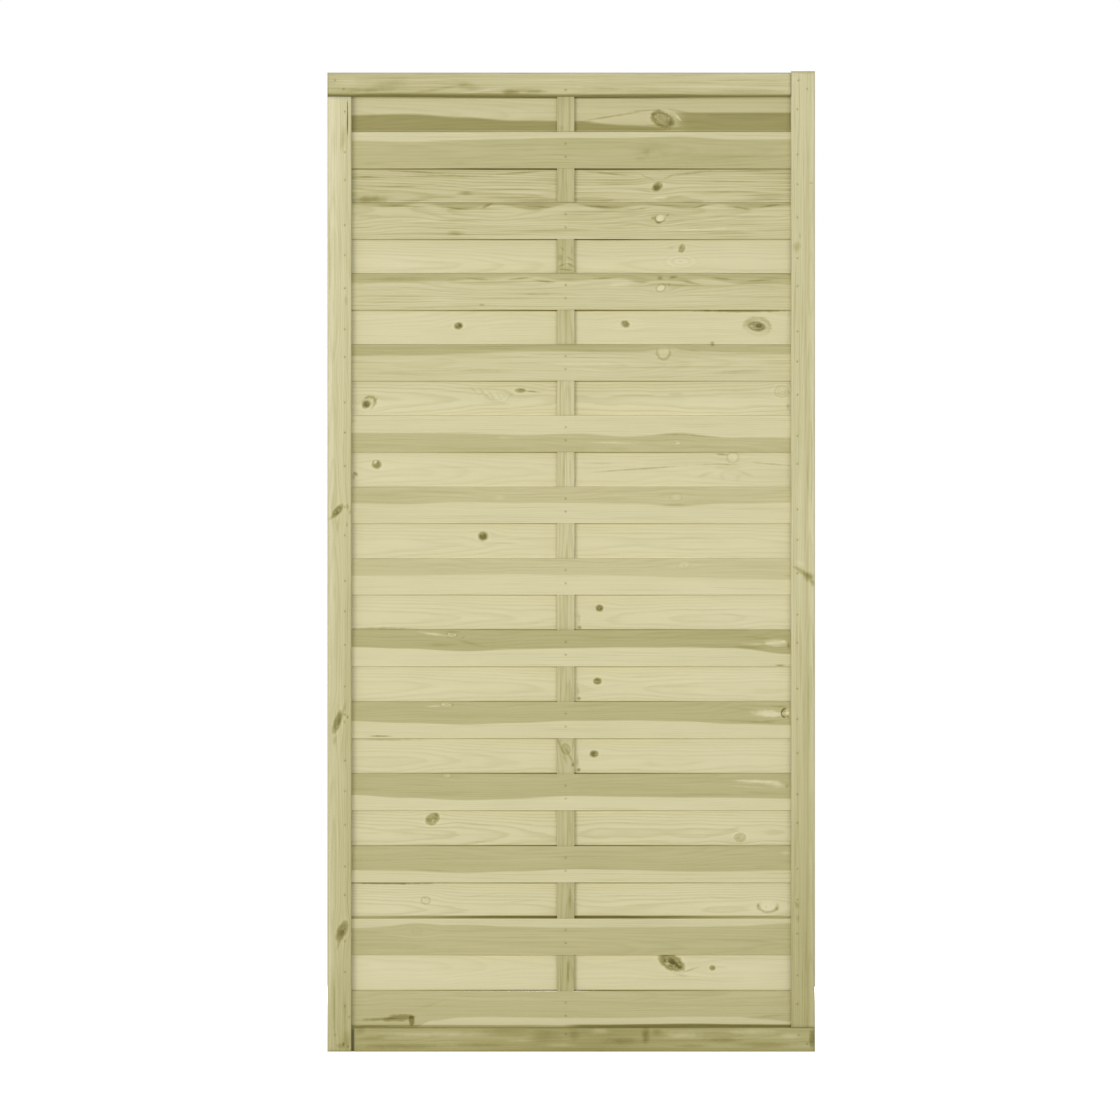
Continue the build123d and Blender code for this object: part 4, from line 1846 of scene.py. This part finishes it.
# Looks of the frame as seen from the front
FRAME_LOOKS: dict[str, BoardLook] = {
    "top_rail": BoardLook(
        stops=((LEFT, 0.4), (450, 0.37), (560, 0.3), (RIGHT, 0.28)), rings=0.14, streaks=0.5, figure=0.35,
        pith=12.0,
        # Painted shade on the lower arris of the top rail, which faces down
        bands=(Band((94.3,), (110,), 1.4, soft=1.5),),
        marks=(
            Blot(511, 92, 26, 7, tone=0.8), Blot(536, 91.5, 30, 5, tone=0.5),
            Blot(520, 90, 60, 7, tone=0.35), Blot(365, 90, 70, 7, tone=0.35),
            Blot(388, 85, 56, 15, -12, tone=0.3), Blot(468, 86, 44, 13, 15, tone=0.28),
            Blot(347, 82, 44, 13, tone=-0.15), Blot(450, 87, 60, 4, -8, tone=0.3),
            Blot(480, 91, 60, 4, -8, tone=-0.25), Blot(415, 80, 120, 4, tone=-0.18),
            Blot(600, 88, 60, 5, 3, tone=0.25), Blot(560, 80, 110, 4, tone=-0.18),
            Blot(690, 82, 100, 4, tone=0.16), Blot(640, 91, 80, 4, -3, tone=0.22),
            Blot(745, 91, 80, 4, tone=0.24), Blot(720, 86, 120, 3, tone=-0.16),
            Blot(770, 81, 50, 4, tone=0.16), Blot(430, 91, 40, 4, -4, tone=0.3),
        ),
    ),
    "right_stile": BoardLook(
        stops=((80, 0.14), (150, 0.18), (630, 0.21), (850, 0.45), (1020, 0.7)), rings=0.14, streaks=0.5,
        figure=0.34, pith=14.0,
        # The second band is a painted highlight on the outer arris
        bands=(Band((804.5,), (809.0,), 0.12, soft=1.2), Band((809.5,), (830,), -0.06, soft=1.2)),
        marks=(
            Blot(796.5, 568, 10, 5, 25, tone=0.5), Blot(804, 573, 26, 8, 32, tone=0.6),
            Blot(808.5, 577, 17, 13, 35, tone=0.75, core=0.2), Blot(813, 583, 7, 9, tone=0.8),
            Blot(800, 563, 16, 6, 20, tone=-0.15), Blot(797, 247, 12, 16, 10, tone=0.5),
            Blot(800, 236, 4, 12, tone=0.35), Blot(797, 905, 6, 11, -10, tone=0.45),
            Blot(798, 918, 5, 12, tone=0.35), Blot(795, 890, 5, 30, tone=0.14),
            Blot(811, 183, 6, 4, tone=0.4), Blot(797, 640, 4, 60, tone=0.14),
            Blot(806, 960, 4, 90, tone=0.16),
        ),
    ),
    "bottom_rail": BoardLook(
        stops=((LEFT, 0.78), (450, 0.75), (600, 1.05), (700, 0.8), (RIGHT, 0.74)), rings=0.12,
        streaks=0.45, figure=0.2, pith=-8.0,
        # Both bands are painted shade: along the top arris in the crevice where the last slat meets the
        # rail, and on the lower arris, which faces down
        bands=(Band((1015,), (1028.6,), 0.28, soft=0.9), Band((1048.6,), (1060,), 0.14, soft=1.0)),
        marks=(
            Blot(430, 1034, 150, 7, tone=-0.4), Blot(400, 1046, 120, 8, tone=0.5),
            Blot(372, 1038, 44, 7, -5, tone=0.35), Blot(360, 1030, 14, 14, tone=0.4),
            Blot(545, 1036, 40, 18, tone=0.4), Blot(574, 1035, 16, 18, tone=0.4),
            Blot(560, 1045, 50, 6, tone=-0.35), Blot(600, 1031, 30, 10, tone=-0.5),
            Blot(622, 1041, 54, 11, tone=0.5), Blot(645.5, 1035, 12, 24, tone=0.75),
            Blot(657, 1032, 14, 10, tone=0.4), Blot(682, 1035, 50, 10, tone=-0.55),
            Blot(722, 1040, 56, 7, tone=0.45), Blot(752, 1032, 70, 8, tone=-0.45),
            Blot(765, 1045, 80, 8, tone=0.45), Blot(812, 1038, 8, 24, tone=0.8, core=0.3),
            Blot(790, 1036, 30, 8, tone=-0.3), Blot(480, 1045, 70, 6, tone=0.35),
            Blot(505, 1031, 60, 7, tone=0.3), Blot(690, 1046, 50, 5, tone=0.35),
            Blot(520, 1041, 40, 5, tone=-0.3),
        ),
    ),
    "left_stile": BoardLook(
        stops=((100, 0.03), (300, 0.12), (590, 0.27), (860, 0.36), (960, 0.38), (1045, 0.54)), rings=0.14,
        streaks=0.5, figure=0.32, pith=-12.0,
        # The first band is a painted highlight on the outer arris, and the second is painted shade on the
        # inner arris beside the slats
        bands=(Band((300,), (333.5,), -0.12, soft=1.5), Band((345.8,), (365,), 0.12, soft=1.5)),
        marks=(
            Knot(337.5, 511, 7.5, 17, 40, heart=1.35, rim=0.3), Blot(331, 518, 9, 6, -30, tone=0.5),
            Blot(347.5, 507, 4, 9, tone=0.6), Blot(350, 512, 3, 7, tone=0.5),
            Blot(347, 525, 2.6, 7, tone=0.6), Blot(338, 525, 5, 22, 10, tone=0.25),
            Knot(337.5, 722, 7.5, 24, 18, heart=1.25, rim=0.4), Blot(344, 709, 5, 22, 14, tone=0.45),
            Blot(347.5, 717, 3, 5, tone=0.9), Blot(344.5, 722, 2.6, 5, tone=0.6),
            Blot(335, 740, 5, 16, 12, tone=0.3), Knot(342, 931, 10, 22, 22, heart=1.25, rim=0.4),
            Blot(339, 943, 4, 20, 16, tone=0.5), Blot(347.5, 117, 1.8, 44, tone=1.7, core=0.4),
            Blot(343, 138, 8, 40, 6, tone=0.35), Blot(346, 300, 5, 16, tone=0.4),
            Blot(334, 1000, 4, 90, tone=0.25), Blot(345, 1015, 5, 60, tone=0.3),
            Blot(341, 1046, 14, 8, tone=0.5), Blot(346, 1040, 13, 28, tone=0.45),
            Blot(343.5, 1044, 2.6, 5, tone=0.9), Blot(348, 1047, 2.6, 5, tone=0.9),
            # Blot(331, 600) is a painted highlight on the outer arris
            Blot(349, 1017, 2.6, 5, tone=0.7), Blot(331, 600, 4, 120, tone=-0.12),
            Blot(336, 170, 8, 60, tone=-0.1),
        ),
    ),
}

# Marks on the back of the frame, by the columns and rows of the front view
BACK_MARKS: dict[str, tuple[Oval, ...]] = {
    "top_rail": (
        Knot(430, 84, 13, 9, heart=1.3), Blot(690, 86, 150, 5, tone=0.25),
    ),
    "right_stile": (
        Knot(802, 380, 8, 15, 20, heart=1.2), Knot(800, 832, 7, 11, -15, heart=1.4),
        Blot(806, 600, 5, 160, tone=0.2),
    ),
    "bottom_rail": (
        Blot(470, 1040, 160, 7, tone=0.4), Blot(700, 1034, 120, 6, tone=-0.4),
        Knot(620, 1039, 12, 9, heart=1.1),
    ),
    "left_stile": (
        Knot(341, 236, 8, 14, -20, heart=1.3), Knot(338, 618, 7, 10, heart=1.5),
        Blot(336, 850, 5, 200, tone=0.2),
    ),
}

BATTEN_LOOK = BoardLook(
    stops=((115, 0.45), (252, 0.56), (398, 0.22), (539, 0.23), (681, 0.36), (825, 0.4), (972, 0.58)),
    rings=0.2, streaks=0.4, figure=0.4, pith=6.0,
    marks=(
        Blot(562, 265, 13, 3, -25, tone=0.6), Blot(571, 265, 14, 3, 28, tone=0.6),
        Blot(566, 269.5, 22, 3, 6, tone=0.6), Blot(571, 259, 14, 3, 30, tone=0.5),
        Blot(560, 258, 8, 10, tone=0.35), Blot(567, 262, 9, 3, tone=-0.3),
        Blot(563, 249, 10, 3, 40, tone=0.35), Blot(572, 250, 4, 14, tone=0.3),
        Knot(566, 749, 9, 12, -25, heart=0.3, rim=0.35), Blot(562, 750, 4, 34, -26, tone=0.5),
        Blot(569, 755, 4, 30, -28, tone=0.5), Blot(573, 745, 3, 24, 8, tone=0.4),
        Blot(559, 742, 4, 14, -20, tone=0.4), Blot(565, 760, 3, 16, -26, tone=0.35),
        Blot(573, 765, 5, 6, tone=0.9), Blot(562, 128, 8, 8, tone=0.25), Blot(566, 185, 3, 30, tone=0.25),
        Blot(564, 470, 2.4, 34, tone=0.35), Blot(570, 470, 2.4, 34, tone=0.3),
        Blot(566, 680, 2.4, 34, tone=0.3), Blot(570, 825, 2.6, 36, tone=0.4),
        Blot(570, 898, 3, 36, tone=0.5), Blot(568, 972, 4, 38, tone=0.6),
    ),
)

# Painted shade in the open joint at the bottom left, on the packer that shows through it
PACKER_LOOK = BoardLook(
    stops=((560, 0.15),),
    marks=(Blot(352.5, 1038, 12, 60, tone=0.45, core=0.6),),
)


@dataclass
class PanelFrame:
    """The front and back frame battens, the centre batten and the packers.

    The seeds of the frame are counted from a first one, less a gap in the front
    layer and more in the back layer, and each seed times a step moves the
    noise of its board.
    """

    arris: float = 3.0
    inner_arris: float = 0.6
    batten_arris: float = 0.8
    face_step: float = 5.0
    arc_points: int = 4
    # Painted highlight on the frame's outer arrises
    arris_highlight: float = -0.03
    frame_seed: int = 41
    layer_seed_gap: int = 8
    batten_seed: int = 77
    packer_seed: int = 90
    seed_step: float = 1.9
    packer_seed_step: float = 2.3
    packers: tuple[str, ...] = (
        "top_left_packer",
        "top_right_packer",
        "bottom_left_packer",
        "bottom_right_packer",
    )
    finish: PineFinish = PineFinish()

    def build(self, brads: BradSet) -> None:
        """Build and dress every upright and rail, then dress the packers.

        Args:
            brads: the brads, for the dents over those that are driven through the frame.
        """
        for layer in Layer:
            heads = brads.heads(layer)
            rounds = (self.arris, self.inner_arris)
            first_seed = self.frame_seed + self.layer_seed_gap * layer.value
            for seed, (member, look) in enumerate(FRAME_LOOKS.items(), start=first_seed):
                node = f"{layer.name.lower()}_{member}"
                grain = Grain.ALONG_X if member.endswith("rail") else Grain.UPRIGHT
                if layer is Layer.BACK:
                    look = replace(look, bands=(), marks=BACK_MARKS[member])
                batten = self.board(node, grain, layer, seed, rounds, heads)
                self.dress(batten, node, "frame_pine", look)
        rounds = (self.batten_arris, self.batten_arris)
        no_heads = np.zeros((0, 2))
        batten = self.board("centre_batten", Grain.UPRIGHT, Layer.FRONT, self.batten_seed, rounds, no_heads)
        self.dress(batten, "centre_batten", "batten_pine", BATTEN_LOOK)
        for seed, node in enumerate(self.packers, start=self.packer_seed):
            low, high = node_box(node)
            place = Place(Grain.ALONG_X, (low[2] + high[2]) / 2, 0.0, seed * self.packer_seed_step)
            coat(node, self.finish.make(f"pine_{node}", place, PACKER_LOOK))

    def board(
        self,
        node: str,
        grain: Grain,
        layer: Layer,
        seed: int,
        rounds: tuple[float, float],
        heads: np.ndarray,
    ) -> Board:
        """Take one batten's sizes from its node's box.

        Args:
            node: the node.
            grain: the way that its fibres run.
            layer: the side that its outer face looks to.
            seed: its own number.
            rounds: the rounding of its outer and its inner long edges.
            heads: the brads that are driven from that side.

        Returns:
            The batten, ready to build.
        """
        low, high = node_box(node)
        run, wide = (0, 2) if grain is Grain.ALONG_X else (2, 0)
        sizes = (high[wide] - low[wide], high[1] - low[1])
        return Board(
            name=f"{node}_board",
            grain=grain,
            layer=layer,
            section=Section(*sizes, *rounds, face_step=self.face_step, arc_points=self.arc_points),
            start=low[run],
            end=high[run],
            across=(low[wide] + high[wide]) / 2,
            depth_middle=(low[1] + high[1]) / 2,
            seed=seed,
            brads=within(heads, low, high, grain),
            arris_highlight=self.arris_highlight,
        )

    def dress(self, board: Board, node: str, slot: str, look: BoardLook) -> None:
        """Build one batten and give it its look in the place of its node."""
        place = Place(board.grain, board.across, 0.0, board.seed * self.seed_step)
        put(board.build(), node, self.finish.make(f"pine_{node}", place, look))


@dataclass(frozen=True)
class Lamp:
    """A rectangular soft lamp: its place and size in metres and its power in watts."""

    name: str
    spot: tuple[float, float, float]
    size: tuple[float, float]
    power: float

    def build(self) -> None:
        """Add the lamp, turned to the middle of the panel."""
        data = bpy.data.lights.new(self.name, "AREA")
        data.shape = "RECTANGLE"
        data.size, data.size_y = self.size
        data.energy = self.power
        lamp = bpy.data.objects.new(self.name, data)
        lamp.location = self.spot
        middle = (cad_box[0] + cad_box[1]) / 2
        lamp.rotation_euler = (middle - lamp.location).to_track_quat("-Z", "Y").to_euler()
        bpy.context.scene.collection.objects.link(lamp)


@dataclass
class Studio:
    """A pale floor, soft lights, a white surround and the camera, in metres."""

    lamps: tuple[Lamp, ...] = (
        Lamp("key_softbox", (-2.6, -5.8, 0.85), (3.0, 1.6), 144.0),
        Lamp("fill_softbox", (1.2, -5.4, 0.75), (3.0, 1.4), 76.0),
        Lamp("back_softbox", (1.6, 5.8, 0.85), (3.0, 1.6), 170.0),
    )
    distance: float = 40.0
    sensor: float = 36.0
    sight: float = 200.0
    sky: float = 0.46
    floor_size: float = 60.0
    floor_glow: float = 0.57
    floor_colour: float = 0.95
    floor_bounce: float = 0.75
    white_rays: tuple[str, ...] = ("Is Camera Ray", "Is Glossy Ray", "Is Transmission Ray")

    def build(self) -> None:
        """Set up the whole studio."""
        self.camera()
        for lamp in self.lamps:
            lamp.build()
        self.surround()
        self.floor()
        bpy.context.scene.view_settings.view_transform = "Standard"

    def camera(self) -> None:
        """Add a camera straight in front, at the photograph's height and scale."""
        data = bpy.data.cameras.new("camera")
        front = cad_box[0][1]
        view_width = PHOTO.size(PHOTO.side) * MM
        data.sensor_width = self.sensor
        data.lens = self.sensor * (self.distance + front) / view_width
        data.clip_end = self.sight
        camera = bpy.data.objects.new("camera", data)
        middle = PHOTO.side / 2
        camera.location = (PHOTO.x(middle) * MM, -self.distance, PHOTO.z(middle) * MM)
        camera.rotation_euler = (math.pi / 2, 0.0, 0.0)
        bpy.context.scene.collection.objects.link(camera)
        bpy.context.scene.camera = camera

    def seen(self, nodes: NodeTree) -> Value:
        """Where a ray shows the background, 1, and where it only brings light, 0."""
        path = nodes.node("ShaderNodeLightPath").outputs
        return nodes.either([path[ray] for ray in self.white_rays])

    def surround(self) -> None:
        """Set up a white world that lights at its own level and shows as white."""
        world = bpy.data.worlds.new("surround")
        world.use_nodes = True
        nodes = NodeTree(world.node_tree)
        level = self.seen(nodes).ramp(0.0, 1.0, self.sky, 1.0)
        white = (1.0, 1.0, 1.0, 1.0)
        back = nodes.node("ShaderNodeBackground", None, {"Color": white, "Strength": level})
        nodes.node("ShaderNodeOutputWorld", None, {"Surface": back.outputs["Background"]})
        bpy.context.scene.world = world

    def floor(self) -> None:
        """Lay a wide pale floor, white to the camera, that keeps the panel's shadow."""
        half = self.floor_size / 2
        mesh = bpy.data.meshes.new("floor")
        corners = np.array([(-1, -1, 0), (1, -1, 0), (1, 1, 0), (-1, 1, 0)]) * half
        mesh.from_pydata(corners.tolist(), [], [(0, 1, 2, 3)])
        floor = bpy.data.objects.new("floor", mesh)
        bpy.context.scene.collection.objects.link(floor)
        mesh.materials.append(self.floor_material())

    def floor_material(self) -> bpy.types.Material:
        """Make a matt pale ground with a white glow that lights nothing and leaves the shadow.

        Returns:
            The floor's material.
        """
        shader = Shader("pale_floor")
        seen = self.seen(shader)
        greys = (seen.ramp(0.0, 1.0, self.floor_bounce, self.floor_colour), seen * self.floor_glow)
        ground, glow = (
            shader.node("ShaderNodeCombineColor", None, {0: grey, 1: grey, 2: grey}).outputs[0]
            for grey in greys
        )
        return shader.dress({
            "Base Color": ground,
            "Emission Color": glow,
            "Emission Strength": 1.0,
            "Roughness": 1.0,
            "Specular IOR Level": 0.0,
        })


def main() -> None:
    """Build and dress the panel, then the studio round it."""
    logging.basicConfig(level=logging.INFO, format="%(name)s: %(message)s")
    brads = BradSet()
    PanelFrame().build(brads)
    SlatWeave().build(brads)
    brads.dress()
    Studio().build()


if __name__ == "__main__":
    main()
